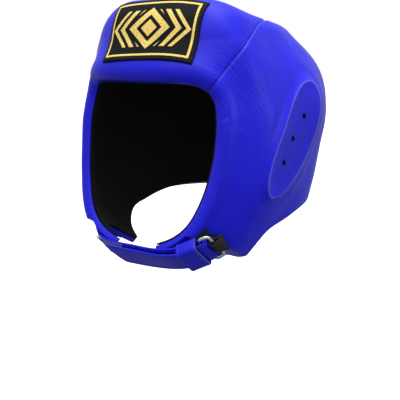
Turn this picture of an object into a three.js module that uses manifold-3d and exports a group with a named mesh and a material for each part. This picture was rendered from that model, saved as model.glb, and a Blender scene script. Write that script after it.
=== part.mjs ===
// Open-face boxing headgear: three padded leather panels over a black lining, a woven
// front patch and a chin strap that doubles back through a wire ring.
// Millimetres. +Z is up, the face looks along -Y and the wearer's left is at +X.
// The origin is the top of the head, just inside the crown opening.

import * as THREE from 'three';
import Module from 'manifold-3d';

const wasm = await Module();
wasm.setup();

// Horizontal sections of the head cavity, crown to chin. Each is a superellipse round the
// vertical axis, with its own reach to the side, to the face and to the nape.
const HEAD_ROWS = [
  { z: 0, side: 28, front: 22, back: 42, frontSquare: 2.2, backSquare: 2.2 },
  { z: -6, side: 49.5, front: 49, back: 52, frontSquare: 3.6, backSquare: 2 },
  { z: -30, side: 65.5, front: 67, back: 82, frontSquare: 3.6, backSquare: 2.35 },
  { z: -55, side: 77, front: 85, back: 102, frontSquare: 3.2, backSquare: 3.1 },
  { z: -85, side: 84, front: 98, back: 111, frontSquare: 3.2, backSquare: 2.8 },
  { z: -118, side: 84, front: 109, back: 106, frontSquare: 3.0, backSquare: 2.5 },
  { z: -148, side: 81, front: 115, back: 96, frontSquare: 2.8, backSquare: 2.5 },
  { z: -176, side: 76, front: 111, back: 84, frontSquare: 2.6, backSquare: 2.5 },
  { z: -198, side: 68, front: 92, back: 69, frontSquare: 2.4, backSquare: 2.4 },
  { z: -216, side: 56, front: 58, back: 50, frontSquare: 2.2, backSquare: 2.3 },
];

// Panel edges on the wearer's left, as azimuth from the face (degrees) and height.
const FACE_RIM = [
  { azimuth: 0, z: -56 },
  { azimuth: 22, z: -56 },
  { azimuth: 36, z: -57.5 },
  { azimuth: 43.5, z: -63 },
  { azimuth: 47, z: -76 },
  { azimuth: 46.5, z: -108 },
  { azimuth: 42, z: -146 },
  { azimuth: 34, z: -176 },
  { azimuth: 25, z: -190.5 },
  { azimuth: 14, z: -199 },
];
const SEAM_CORNER = 3; // row of FACE_RIM where the forehead seam starts
const SEAM = [
  { azimuth: 43.5, z: -63 },
  { azimuth: 56, z: -40 },
  { azimuth: 70, z: -22.5 },
  { azimuth: 86, z: -14.5 },
  { azimuth: 104, z: -11 },
  { azimuth: 122, z: -9 },
];
const CROWN_EDGE = [
  { azimuth: 0, z: -1 },
  { azimuth: 60, z: -2.5 },
  { azimuth: 122, z: -9 },
  { azimuth: 180, z: -13 },
];
const CROWN_CORNER = 2; // row of CROWN_EDGE where the forehead seam ends
const LOWER_EDGE = [
  { azimuth: 14, z: -199 },
  { azimuth: 23, z: -196 },
  { azimuth: 33, z: -193 },
  { azimuth: 40, z: -197 },
  { azimuth: 48, z: -208 },
  { azimuth: 55, z: -212.5 },
  { azimuth: 64, z: -201 },
  { azimuth: 76, z: -186.5 },
  { azimuth: 92, z: -180.5 },
  { azimuth: 118, z: -173 },
  { azimuth: 150, z: -169 },
  { azimuth: 180, z: -168 },
];
const BACK_MIDDLE = { azimuth: 180, z: -88 }; // on the line where the side panels meet

// Padding
const PAD_FULL = [
  { azimuth: 0, thickness: 24 },
  { azimuth: 45, thickness: 24 },
  { azimuth: 90, thickness: 21 },
  { azimuth: 150, thickness: 19 },
  { azimuth: 180, thickness: 19 },
];
const JAW = { thickness: 5.5, creaseAzimuth: 37, creaseZ: -171, fall: 0.97, blend: 18 };
const RIM = { edge: 4, roll: 11.5, radius: 6, groove: 0.5, grooveAt: 10, grooveWidth: 3 };
const BROW = { roll: 13, radius: 15 }; // the rim's roll over the face, with no groove behind it
// Reach of the rise behind the rim, and the azimuths and heights between which it changes
const SWELL = { brow: 70, cheek: 41, browEnd: 34, cheekStart: 62, browZ: -66, cheekZ: -100 };
const LOWER = { edge: 5.5, radius: 7 };
const CROWN = { edge: 5, radius: 22 };
const BACK = { edge: 10, radius: 8 };
const SEAM_DIP = { depth: 1.2, width: 2.5 };
const PANEL_GAP = 0.8; // between a panel's edge and the seam line

// Ear cup: an oval bead round a sunken face, its top leaning back, and three punched vents.
// The relief's reaches are distances outward from the oval.
const EAR = { azimuth: 88.5, z: -107, lean: 37, halfWidth: 22, halfLength: 52 };
const EAR_SWELL = { height: 5.6, from: -6, to: 26 };
const EAR_BEAD = { height: 2.2, width: 4.5 };
const EAR_HOLLOW = { depth: 1.6, from: -12, to: -3 };
const EAR_SHOULDER = { across: 16, along: 50, height: 4.5, radius: 24 }; // behind the oval's top
const VENT = { outer: 4.4, inner: 1.9, depth: 60 };
const VENTS = [
  { across: -2.3, along: 25.7 },
  { across: -5, along: 0.4 },
  { across: -3, along: -23.2 },
];

const LINING = { clearance: 0.8, thickness: 1.6 };
const PATCH = {
  width: 97, height: 57, thickness: 1.4, clearance: 0.8,
  x: 7.5, y: -76.5, z: -10.3, lean: 37, turn: 2.5,
};
const CLOSURE = { azimuth: 148, topZ: -92, bottomZ: -134, clearance: 0.8, thickness: 2.2 };

// Chin strap: the inner layer runs from the right jaw to the ring, the outer layer back.
const STRAP = { width: 25, thickness: 2.2, freeEnd: 0.3 };
// Distance between the layers: where they are pressed together, and at the ring
const STRAP_SPACING = { pressed: 4.8, ring: 6.4, from: 0.6, to: 0.85 };
const STRAP_ROOT = { azimuth: -46, z: -194, clearance: 2.1 };
const STRAP_LINE = [
  { x: -37, y: -86.8, z: -209.6 },
  { x: 0, y: -88.5, z: -210.6 },
  { x: 36, y: -88.6, z: -208.6 },
  { x: 55, y: -84.6, z: -204.6 },
  { x: 72.6, y: -78.6, z: -195.7 },
];
// Direction of the strap's width, front edge to rear: on the jaw, under the chin, at the ring
const STRAP_LEAN = {
  root: { x: 0.42, y: 0.75, z: -0.53 },
  chin: { x: 0, y: 0.7, z: -0.71 },
  ring: { x: 0, y: 0.78, z: -0.62 },
};
const STRAP_TURN = { rootEnd: 0.35, ringStart: 0.45, ringEnd: 0.85 }; // where the lean changes
const RING = { long: 34.5, short: 12, corner: 3, wire: 3, sides: 8 };
const KEEPER = { length: 19, corner: 2.2, thickness: 1.8, slack: 2.15, place: 0.908 };
const TAB = { width: 13, thickness: 1.8, length: 7.5, play: 1.15, layerGap: 0.4 };
const SEAT = 0.6; // clearance of a piece sewn flat onto a pad

const BLUE = 0x2424c4;
const BLACK = 0x17181a;

const DEG = Math.PI / 180;

const clamp01 = (x) => Math.min(Math.max(x, 0), 1);

const lerp = (a, b, t) => a + (b - a) * t;

const smooth = (from, to, x) => {
  const t = clamp01((x - from) / (to - from));
  return t * t * (3 - 2 * t);
};

// Uniform Catmull-Rom spline through a list of numbers, with doubled end points.
function spline(values, t) {
  const last = values.length - 1;
  const i = Math.min(Math.floor(t), last - 1);
  const s = t - i;
  const p0 = values[Math.max(i - 1, 0)];
  const p1 = values[i];
  const p2 = values[i + 1];
  const p3 = values[Math.min(i + 2, last)];
  const v1 = (p2 - p0) / 2;
  const v2 = (p3 - p1) / 2;
  return p1 + v1 * s + (3 * (p2 - p1) - 2 * v1 - v2) * s * s + (2 * (p1 - p2) + v1 + v2) * s ** 3;
}

const column = (key) => HEAD_ROWS.map((row) => row[key]);
const HEAD = Object.fromEntries(Object.keys(HEAD_ROWS[0]).map((key) => [key, column(key)]));

// Point of the head cavity at an azimuth (radians) and a fractional section row.
function headPoint(azimuth, row) {
  const s = Math.sin(azimuth);
  const c = Math.cos(azimuth);
  const side = spline(HEAD.side, row);
  const depth = spline(c > 0 ? HEAD.front : HEAD.back, row);
  const n = spline(c > 0 ? HEAD.frontSquare : HEAD.backSquare, row);
  const r = ((Math.abs(s) / side) ** n + (Math.abs(c) / depth) ** n) ** (-1 / n);
  return new THREE.Vector3(r * s, -r * c, spline(HEAD.z, row));
}

const STEP = 1e-3;

function headNormal(azimuth, row) {
  const low = Math.max(row - STEP, 0);
  const around = headPoint(azimuth + STEP, row).sub(headPoint(azimuth - STEP, row));
  const down = headPoint(azimuth, low + 2 * STEP).sub(headPoint(azimuth, low));
  return down.cross(around).normalize();
}

// Section row at a height, by bisection: the table's heights only fall.
function rowAt(z) {
  let low = 0;
  let high = HEAD_ROWS.length - 1;
  for (let i = 0; i < 40; i += 1) {
    const middle = (low + high) / 2;
    if (spline(HEAD.z, middle) > z) low = middle;
    else high = middle;
  }
  return (low + high) / 2;
}

// A panel edge: a spline through table rows, read by its length along the head.
class Edge {
  constructor(table, samples = 160) {
    const azimuths = table.map((p) => p.azimuth * DEG);
    const rows = table.map((p) => rowAt(p.z));
    const last = table.length - 1;
    const ts = Array.from({ length: samples + 1 }, (_, i) => (i / samples) * last);
    this.nodes = ts.map((t) => [spline(azimuths, t), spline(rows, t)]);
    this.points = this.nodes.map(([azimuth, row]) => headPoint(azimuth, row));
    this.lengths = [0];
    for (let i = 1; i <= samples; i += 1) {
      this.lengths.push(this.lengths[i - 1] + this.points[i].distanceTo(this.points[i - 1]));
    }
  }

  get length() {
    return this.lengths.at(-1);
  }

  at(fraction) {
    const goal = clamp01(fraction) * this.length;
    let i = 1;
    while (i < this.lengths.length - 1 && this.lengths[i] < goal) i += 1;
    const t = (goal - this.lengths[i - 1]) / (this.lengths[i] - this.lengths[i - 1]);
    const [a, b] = [this.nodes[i - 1], this.nodes[i]];
    return [lerp(a[0], b[0], t), lerp(a[1], b[1], t)];
  }

  distance(point) {
    const line = new THREE.Line3();
    const nearest = new THREE.Vector3();
    let best = Infinity;
    for (let i = 1; i < this.points.length; i += 2) {
      line.set(this.points[i - 1], this.points[Math.min(i + 1, this.points.length - 1)]);
      line.closestPointToPoint(point, true, nearest);
      best = Math.min(best, nearest.distanceToSquared(point));
    }
    return Math.sqrt(best);
  }
}

const brow = new Edge(FACE_RIM.slice(0, SEAM_CORNER + 1));
const cheekRim = new Edge(FACE_RIM.slice(SEAM_CORNER));
const seam = new Edge(SEAM);
const crownFront = new Edge(CROWN_EDGE.slice(0, CROWN_CORNER + 1));
const crownRear = new Edge(CROWN_EDGE.slice(CROWN_CORNER));
const lowerEdge = new Edge(LOWER_EDGE);
const centreBack = new Edge([LOWER_EDGE.at(-1), BACK_MIDDLE, CROWN_EDGE.at(-1)]);

// Ear cup frame on the head: its centre and its two axes in the tangent plane.
const earRow = rowAt(EAR.z);
const earCentre = headPoint(EAR.azimuth * DEG, earRow);
const earNormal = headNormal(EAR.azimuth * DEG, earRow);
const earBack = new THREE.Vector3(0, 0, 1).cross(earNormal).normalize();
const earUp = earNormal.clone().cross(earBack);
const earAlong = earUp.clone().multiplyScalar(Math.cos(EAR.lean * DEG));
earAlong.addScaledVector(earBack, Math.sin(EAR.lean * DEG));
const earAcross = earAlong.clone().cross(earNormal);

// Place of a point in the ear's plane, or nothing on the far side of the head.
function earPlace(point) {
  const offset = point.clone().sub(earCentre);
  if (offset.dot(earNormal) < -EAR.halfLength) return null;
  return { across: offset.dot(earAcross), along: offset.dot(earAlong) };
}

// Distance outward from the ear's oval: the radius, less 1, over its steepness.
function earReach({ across, along }) {
  const [x, y] = [across / EAR.halfWidth, along / EAR.halfLength];
  const radius = Math.max(Math.hypot(x, y), STEP);
  const steepness = Math.hypot(x / EAR.halfWidth, y / EAR.halfLength) / radius;
  return (radius - 1) / Math.max(steepness, 1 / EAR.halfLength);
}

const bell = (x, width) => Math.exp(-((x / width) ** 2));

function earRelief(point) {
  const place = earPlace(point);
  if (!place) return 0;
  const reach = earReach(place);
  const beyond = Math.hypot(place.across - EAR_SHOULDER.across, place.along - EAR_SHOULDER.along);
  const shoulder = EAR_SHOULDER.height * bell(beyond, EAR_SHOULDER.radius);
  const swell = EAR_SWELL.height * (1 - smooth(EAR_SWELL.from, EAR_SWELL.to, reach));
  const hollow = EAR_HOLLOW.depth * (1 - smooth(EAR_HOLLOW.from, EAR_HOLLOW.to, reach));
  return swell + shoulder + EAR_BEAD.height * bell(reach, EAR_BEAD.width) - hollow;
}

const rounded = (distance, edge, full, radius) => {
  const s = 1 - clamp01(distance / radius);
  return edge + (full - edge) * Math.sqrt(1 - s * s);
};

// Degrees round from the face, the same to both sides.
const azimuthOf = (azimuth) => Math.acos(Math.cos(azimuth)) / DEG;

// Padding thickness over the whole shell, the same on both sides of the face.
function fullThickness(azimuth, z) {
  const degrees = azimuthOf(azimuth);
  const next = Math.max(PAD_FULL.findIndex((p) => p.azimuth >= degrees), 1);
  const [a, b] = [PAD_FULL[next - 1], PAD_FULL[next]];
  const full = lerp(a.thickness, b.thickness, smooth(a.azimuth, b.azimuth, degrees));
  const creaseZ = JAW.creaseZ - (degrees - JAW.creaseAzimuth) * JAW.fall;
  return lerp(full, JAW.thickness, smooth(0, JAW.blend, creaseZ - z));
}

function padThickness(azimuth, row) {
  const point = headPoint(Math.abs(azimuth), row);
  const full = fullThickness(azimuth, point.z);
  const rim = Math.min(brow.distance(point), cheekRim.distance(point));
  const crown = Math.min(crownFront.distance(point), crownRear.distance(point));
  const sideways = smooth(SWELL.browEnd, SWELL.cheekStart, azimuthOf(azimuth));
  const below = smooth(-SWELL.browZ, -SWELL.cheekZ, -point.z);
  const cheek = Math.max(sideways, below);
  const reach = lerp(SWELL.brow, SWELL.cheek, cheek);
  const roll = lerp(BROW.roll, RIM.roll, cheek);
  const radius = lerp(BROW.radius, RIM.radius, cheek);
  const swell = (full - roll) * smooth(radius, reach, rim);
  const groove = cheek * RIM.groove * bell(rim - RIM.grooveAt, RIM.grooveWidth);
  const atRim = rounded(rim, RIM.edge, roll, radius) + swell - groove;
  const atLower = rounded(lowerEdge.distance(point), LOWER.edge, full, LOWER.radius);
  const atCrown = rounded(crown, CROWN.edge, full, CROWN.radius);
  const atBack = rounded(centreBack.distance(point), BACK.edge, full, BACK.radius);
  const dip = SEAM_DIP.depth * bell(seam.distance(point), SEAM_DIP.width);
  const thickness = Math.min(atRim, atLower, atCrown, atBack) - dip + earRelief(point);
  return Math.max(thickness, RIM.edge - 1);
}

const offsetPoint = (azimuth, row, offset) => (
  headPoint(azimuth, row).addScaledVector(headNormal(azimuth, row), offset)
);

// Grid lines of the panels: fine beside the face rim and the sewn edges.
const SEAM_LINES = [
  0, 0.02, 0.04, 0.062, 0.085, 0.115, 0.16, 0.22, 0.29,
  0.37, 0.46, 0.56, 0.66, 0.77, 0.88, 0.95, 1,
];
const CROWN_LINES = [0.07, 0.15, 0.24, 0.33, 0.42, 0.51, 0.6, 0.69, 0.78, 0.86, 0.92, 0.965, 1];
const HEIGHT_LINES = [
  0, 0.02, 0.05, 0.1, 0.16, 0.22, 0.275, 0.33, 0.385, 0.44,
  0.495, 0.55, 0.605, 0.66, 0.715, 0.77, 0.83, 0.89, 0.95, 1,
];
const BROW_LINES = [
  0, 0.02, 0.05, 0.09, 0.14, 0.2, 0.26, 0.32, 0.38, 0.44, 0.5,
  0.56, 0.62, 0.68, 0.74, 0.8, 0.86, 0.91, 0.95, 0.98, 1,
];
const SEAM_SHARE = 0.56; // part of the side panel's upper edge that the seam takes

// The lines as they are, or every second one of them, with the last kept.
const spaced = (lines, coarse) => (
  lines.filter((_, i) => !coarse || i % 2 === 0 || i === lines.length - 1)
);

// Coons patch between four edges, as a grid of azimuth and row.
function panel(bottom, top, left, right, us, vs) {
  const mix = (u, v, axis) => {
    const ruled = lerp(bottom(u)[axis], top(u)[axis], v) + lerp(left(v)[axis], right(v)[axis], u);
    const low = lerp(bottom(0)[axis], bottom(1)[axis], u);
    const high = lerp(top(0)[axis], top(1)[axis], u);
    return ruled - lerp(low, high, v);
  };
  return vs.map((v) => us.map((u) => [mix(u, v, 0), mix(u, v, 1)]));
}

// Moves an edge over the head by a distance square to it, to leave room for a seam.
const shifted = (edge, distance) => (fraction) => {
  const [azimuth, row] = edge.at(fraction);
  const before = headPoint(...edge.at(Math.max(fraction - STEP, 0)));
  const forward = headPoint(...edge.at(Math.min(fraction + STEP, 1))).sub(before);
  const across = forward.cross(headNormal(azimuth, row)).normalize();
  const point = headPoint(azimuth, row);
  const around = headPoint(azimuth + STEP, row).sub(point).divideScalar(STEP);
  const down = headPoint(azimuth, row + STEP).sub(point).divideScalar(STEP);
  const [aa, ad, dd] = [around.dot(around), around.dot(down), down.dot(down)];
  const [wa, wd] = [around.dot(across) * distance, down.dot(across) * distance];
  const area = aa * dd - ad * ad;
  return [azimuth + (wa * dd - wd * ad) / area, row + (wd * aa - wa * ad) / area];
};

function sidePanel(gap, coarse) {
  const seamTop = shifted(seam, gap);
  const rear = shifted(centreBack, -gap);
  const top = (u) => (
    u <= SEAM_SHARE ? seamTop(u / SEAM_SHARE) : crownRear.at((u - SEAM_SHARE) / (1 - SEAM_SHARE))
  );
  const us = [
    ...spaced(SEAM_LINES, coarse).map((s) => s * SEAM_SHARE),
    ...spaced(CROWN_LINES, coarse).map((s) => lerp(SEAM_SHARE, 1, s)),
  ];
  const bottom = (u) => lowerEdge.at(u);
  const front = (v) => cheekRim.at(1 - v);
  return panel(bottom, top, front, rear, us, spaced(HEIGHT_LINES, coarse));
}

function foreheadPanel(gap, coarse) {
  const mirrored = (edge) => (u) => {
    const [azimuth, row] = edge.at(Math.abs(2 * u - 1));
    return [u < 0.5 ? -azimuth : azimuth, row];
  };
  const right = shifted(seam, -gap);
  const left = (v) => [-right(v)[0], right(v)[1]];
  const us = spaced(BROW_LINES, coarse);
  return panel(mirrored(brow), mirrored(crownFront), left, right, us, spaced(SEAM_LINES, coarse));
}

const mirrorGrid = (grid) => grid.map((line) => line.map(([azimuth, row]) => [-azimuth, row]));

// Closed wall between an inner and an outer surface over welded grids.
function wall(grids, inner, outer) {
  const index = new Map();
  const nodes = [];
  const weld = ([azimuth, row]) => {
    const point = headPoint(azimuth, row);
    const key = point.toArray().map((x) => Math.round(x * 100)).join();
    if (!index.has(key)) {
      index.set(key, nodes.length);
      nodes.push([azimuth, row]);
    }
    return index.get(key);
  };
  const faces = [];
  for (const grid of grids) {
    const ids = grid.map((line) => line.map(weld));
    for (let v = 0; v + 1 < ids.length; v += 1) {
      for (let u = 0; u + 1 < ids[v].length; u += 1) {
        const [a, b, c, d] = [ids[v][u], ids[v][u + 1], ids[v + 1][u + 1], ids[v + 1][u]];
        faces.push([a, b, c], [a, c, d]);
      }
    }
  }
  return closeWall(nodes, faces.filter(([a, b, c]) => a !== b && b !== c && c !== a), inner, outer);
}

function closeWall(nodes, faces, inner, outer) {
  const used = new Set(faces.flatMap(([a, b, c]) => [`${a},${b}`, `${b},${c}`, `${c},${a}`]));
  const positions = nodes.flatMap(([azimuth, row]) => [
    ...offsetPoint(azimuth, row, inner(azimuth, row)).toArray(),
    ...offsetPoint(azimuth, row, outer(azimuth, row)).toArray(),
  ]);
  const triangles = [];
  for (const [a, b, c] of faces) {
    triangles.push(2 * a + 1, 2 * b + 1, 2 * c + 1, 2 * a, 2 * c, 2 * b);
    for (const [from, to] of [[a, b], [b, c], [c, a]]) {
      if (used.has(`${to},${from}`)) continue;
      triangles.push(2 * from + 1, 2 * from, 2 * to + 1, 2 * to + 1, 2 * from, 2 * to);
    }
  }
  return solid(positions, triangles);
}

// Indexed geometry with its faces turned outward.
function solid(positions, triangles) {
  const at = (i) => new THREE.Vector3().fromArray(positions, 3 * i);
  let volume = 0;
  for (let i = 0; i < triangles.length; i += 3) {
    volume += at(triangles[i]).dot(at(triangles[i + 1]).cross(at(triangles[i + 2])));
  }
  const ordered = volume > 0 ? triangles : triangles.toReversed();
  const geometry = new THREE.BufferGeometry();
  geometry.setAttribute('position', new THREE.Float32BufferAttribute(positions, 3));
  geometry.setIndex(ordered);
  geometry.computeVertexNormals();
  return geometry;
}

function mirrorX(geometry) {
  const positions = Array.from(geometry.getAttribute('position').array, (x, i) => (i % 3 ? x : -x));
  return solid(positions, Array.from(geometry.index.array));
}

const toManifold = (geometry) => new wasm.Manifold(new wasm.Mesh({
  numProp: 3,
  vertProperties: new Float32Array(geometry.getAttribute('position').array),
  triVerts: new Uint32Array(geometry.index.array),
}));

function subtract(geometry, cutters) {
  const body = cutters.reduce((rest, cutter) => rest.subtract(toManifold(cutter)), toManifold(geometry));
  const mesh = body.getMesh();
  return solid(Array.from(mesh.vertProperties), Array.from(mesh.triVerts));
}

// Straight prism through the pad at one vent: a five-pointed star along the ear's axis.
function ventCutter({ across, along }) {
  const tips = 5;
  const middle = earCentre.clone().addScaledVector(earAcross, across).addScaledVector(earAlong, along);
  const ring = Array.from({ length: 2 * tips }, (_, i) => {
    const radius = i % 2 ? VENT.inner : VENT.outer;
    const angle = (i * Math.PI) / tips;
    const corner = middle.clone().addScaledVector(earAlong, radius * Math.cos(angle));
    return corner.addScaledVector(earAcross, radius * Math.sin(angle));
  });
  const ends = [-VENT.depth / 2, VENT.depth / 2];
  const layers = ends.map((reach) => ring.map((p) => p.clone().addScaledVector(earNormal, reach)));
  const centres = ends.map((reach) => middle.clone().addScaledVector(earNormal, reach));
  const positions = [...layers[0], ...layers[1], ...centres].flatMap((p) => p.toArray());
  const count = ring.length;
  const triangles = ring.flatMap((_, i) => {
    const j = (i + 1) % count;
    const side = [i, j, count + i, count + i, j, count + j];
    return [...side, 2 * count, j, i, 2 * count + 1, count + i, count + j];
  });
  return solid(positions, triangles);
}

// Flat band swept along points, with its width direction given at each of them.
function ribbon(points, across, width, thickness, closed = false) {
  const count = points.length;
  const corners = points.flatMap((point, i) => {
    const before = points[closed ? (i + count - 1) % count : Math.max(i - 1, 0)];
    const after = points[closed ? (i + 1) % count : Math.min(i + 1, count - 1)];
    const forward = after.clone().sub(before).normalize();
    const side = across[i].clone().addScaledVector(forward, -across[i].dot(forward)).normalize();
    const out = forward.clone().cross(side);
    const corner = (s, o) => (
      point.clone().addScaledVector(side, (s * width) / 2)
        .addScaledVector(out, (o * thickness) / 2).toArray()
    );
    return [corner(-1, -1), corner(1, -1), corner(1, 1), corner(-1, 1)];
  });
  const triangles = [];
  const spans = closed ? count : count - 1;
  for (let i = 0; i < spans; i += 1) {
    const here = 4 * i;
    const next = 4 * ((i + 1) % count);
    for (let k = 0; k < 4; k += 1) {
      const [a, b] = [here + k, here + ((k + 1) % 4)];
      const [c, d] = [next + k, next + ((k + 1) % 4)];
      triangles.push(a, b, c, c, b, d);
    }
  }
  if (!closed) {
    const end = 4 * (count - 1);
    triangles.push(0, 2, 1, 0, 3, 2, end, end + 1, end + 2, end, end + 2, end + 3);
  }
  return solid(corners.flat(), triangles);
}

// Round bar swept round a closed loop of points that lies in one plane.
function hoop(points, normal, radius, sides) {
  const count = points.length;
  const positions = points.flatMap((point, i) => {
    const forward = points[(i + 1) % count].clone().sub(points[(i + count - 1) % count]).normalize();
    const out = forward.clone().cross(normal);
    return Array.from({ length: sides }, (_, k) => {
      const angle = (2 * Math.PI * k) / sides;
      const offset = out.clone().multiplyScalar(radius * Math.cos(angle));
      return point.clone().add(offset.addScaledVector(normal, radius * Math.sin(angle))).toArray();
    }).flat();
  });
  const triangles = [];
  for (let i = 0; i < count; i += 1) {
    for (let k = 0; k < sides; k += 1) {
      const [a, b] = [i * sides + k, i * sides + ((k + 1) % sides)];
      const next = ((i + 1) % count) * sides;
      const [c, d] = [next + k, next + ((k + 1) % sides)];
      triangles.push(a, b, c, c, b, d);
    }
  }
  return solid(positions, triangles);
}

// Corners of a rounded rectangle in the plane of two axes.
function roundedLoop(centre, long, short, length, height, corner, steps = 4) {
  const loop = [];
  const signs = [[1, 1], [-1, 1], [-1, -1], [1, -1]];
  signs.forEach(([sx, sy], quarter) => {
    for (let i = 0; i <= steps; i += 1) {
      const angle = ((quarter + i / steps) * Math.PI) / 2;
      const x = sx * (length / 2 - corner) + corner * Math.cos(angle);
      const y = sy * (height / 2 - corner) + corner * Math.sin(angle);
      loop.push(centre.clone().addScaledVector(long, x).addScaledVector(short, y));
    }
  });
  return loop;
}

// Grid position whose outer point meets two conditions, by Newton steps.
function solveNode(start, residual) {
  let node = start;
  for (let i = 0; i < 12; i += 1) {
    const [f, g] = residual(node);
    const [fa, ga] = residual([node[0] + STEP, node[1]]).map((x, k) => (x - [f, g][k]) / STEP);
    const [fr, gr] = residual([node[0], node[1] + STEP]).map((x, k) => (x - [f, g][k]) / STEP);
    const det = fa * gr - fr * ga;
    node = [node[0] - (f * gr - g * fr) / det, node[1] - (g * fa - f * ga) / det];
  }
  return node;
}

const outerPoint = (azimuth, row) => offsetPoint(azimuth, row, padThickness(azimuth, row));

// Woven patch: a rectangle, turned a little, laid straight onto the leaning forehead.
function patchGrid() {
  const steps = { across: 16, up: 9 };
  const search = { bottomRow: 2.4, topRow: 1.2 };
  const up = new THREE.Vector3(0, Math.sin(PATCH.lean * DEG), Math.cos(PATCH.lean * DEG));
  const centre = new THREE.Vector3(0, PATCH.y, PATCH.z);
  return Array.from({ length: steps.up + 1 }, (_, v) => (
    Array.from({ length: steps.across + 1 }, (__, u) => {
      const place = new THREE.Vector2(
        (u / steps.across - 0.5) * PATCH.width,
        (v / steps.up - 0.5) * PATCH.height,
      ).rotateAround(new THREE.Vector2(), PATCH.turn * DEG);
      const x = PATCH.x + place.x;
      const height = place.y;
      const start = [x / -PATCH.y, lerp(search.bottomRow, search.topRow, v / steps.up)];
      return solveNode(start, ([azimuth, row]) => {
        const point = outerPoint(azimuth, row);
        return [point.x - x, point.sub(centre).dot(up) - height];
      });
    })
  ));
}

// Rear strap: a plain band over the meeting edges of the two side panels.
function closureGrid() {
  const rows = [CLOSURE.bottomZ, CLOSURE.topZ].map(rowAt);
  return [0, 0.25, 0.5, 0.75, 1].map((v) => (
    Array.from({ length: 13 }, (_, u) => [
      lerp(CLOSURE.azimuth, 360 - CLOSURE.azimuth, u / 12) * DEG,
      lerp(rows[0], rows[1], v),
    ])
  ));
}

const toVector = ({ x, y, z }) => new THREE.Vector3(x, y, z);

const rootLean = toVector(STRAP_LEAN.root).normalize();
const chinLean = toVector(STRAP_LEAN.chin).normalize();
const lean = toVector(STRAP_LEAN.ring).normalize();

// Position on the shell whose outer point is nearest to a target, by a shrinking search.
function nearestNode(target) {
  let node = [Math.atan2(target.x, -target.y), rowAt(target.z)];
  const gap = ([azimuth, row]) => outerPoint(azimuth, row).distanceTo(target);
  for (let step = 0.2; step > 5e-4; step *= 0.6) {
    const around = [-2, -1, 0, 1, 2].flatMap((a) => [-2, -1, 0, 1, 2].map((r) => [a * step, r * step]));
    const tries = around.map(([a, r]) => [node[0] + a, node[1] + r]);
    node = tries.reduce((best, next) => (gap(next) < gap(best) ? next : best), node);
  }
  return node;
}

const raised = ([azimuth, row], height) => offsetPoint(azimuth, row, padThickness(azimuth, row) + height);

function outerNormal([azimuth, row]) {
  const around = outerPoint(azimuth + STEP, row).sub(outerPoint(azimuth - STEP, row));
  const down = outerPoint(azimuth, row + STEP).sub(outerPoint(azimuth, row - STEP));
  return down.cross(around).normalize();
}

const rootNode = [STRAP_ROOT.azimuth * DEG, rowAt(STRAP_ROOT.z)];
const rootLift = STRAP_ROOT.clearance + (STRAP.thickness + STRAP_SPACING.pressed) / 2;
const rootPoint = outerPoint(...rootNode).addScaledVector(outerNormal(rootNode), rootLift);
const strapNodes = [rootPoint, ...STRAP_LINE.map(toVector)];
const strapLine = new THREE.CatmullRomCurve3(strapNodes, false, 'centripetal');

// Width direction of the strap along its line.
function strapAcross(place) {
  const leaving = smooth(0, STRAP_TURN.rootEnd, place);
  const arriving = smooth(STRAP_TURN.ringStart, STRAP_TURN.ringEnd, place);
  return rootLean.clone().lerp(chinLean, leaving).lerp(lean, arriving).normalize();
}

const strapOut = (place) => strapAcross(place).cross(strapLine.getTangentAt(place)).normalize();

// The strap's way: inner layer to the ring, half a turn round its bar, outer layer back.
function strapRibbon() {
  const steps = 26;
  const inner = Array.from({ length: steps + 1 }, (_, i) => i / steps);
  const outer = inner.map((s) => lerp(1, STRAP.freeEnd, s));
  const half = (place) => {
    const apart = smooth(STRAP_SPACING.from, STRAP_SPACING.to, place);
    return lerp(STRAP_SPACING.pressed, STRAP_SPACING.ring, apart) / 2;
  };
  const layer = (place, share) => (
    strapLine.getPointAt(place).addScaledVector(strapOut(place), share * half(place))
  );
  const turn = [0.25, 0.5, 0.75].map((part) => {
    const reach = half(1) * Math.sin(part * Math.PI);
    return layer(1, -Math.cos(part * Math.PI)).addScaledVector(strapLine.getTangentAt(1), reach);
  });
  const points = [
    ...inner.map((place) => layer(place, -1)),
    ...turn,
    ...outer.map((place) => layer(place, 1)),
  ];
  const across = [...inner, 1, 1, 1, ...outer].map(strapAcross);
  return ribbon(points, across, STRAP.width, STRAP.thickness);
}

const strapEnd = strapLine.getPointAt(1);
const ringShort = strapLine.getTangentAt(1);
ringShort.addScaledVector(lean, -ringShort.dot(lean)).normalize();
const ringNormal = lean.clone().cross(ringShort);
const ringCentre = strapEnd.clone().addScaledVector(ringShort, (RING.short - RING.wire) / 2);

function ringHoop() {
  const [long, short] = [RING.long - RING.wire, RING.short - RING.wire];
  const loop = roundedLoop(ringCentre, lean, ringShort, long, short, RING.corner);
  return hoop(loop, ringNormal, RING.wire / 2, RING.sides);
}

function keeperBand() {
  const forward = strapLine.getTangentAt(KEEPER.place);
  const width = STRAP.width + KEEPER.thickness + KEEPER.slack;
  const height = STRAP_SPACING.ring + STRAP.thickness + KEEPER.thickness + KEEPER.slack;
  const centre = strapLine.getPointAt(KEEPER.place);
  const loop = roundedLoop(centre, lean, strapOut(KEEPER.place), width, height, KEEPER.corner);
  return ribbon(loop, loop.map(() => forward), KEEPER.length, KEEPER.thickness, true);
}

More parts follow.
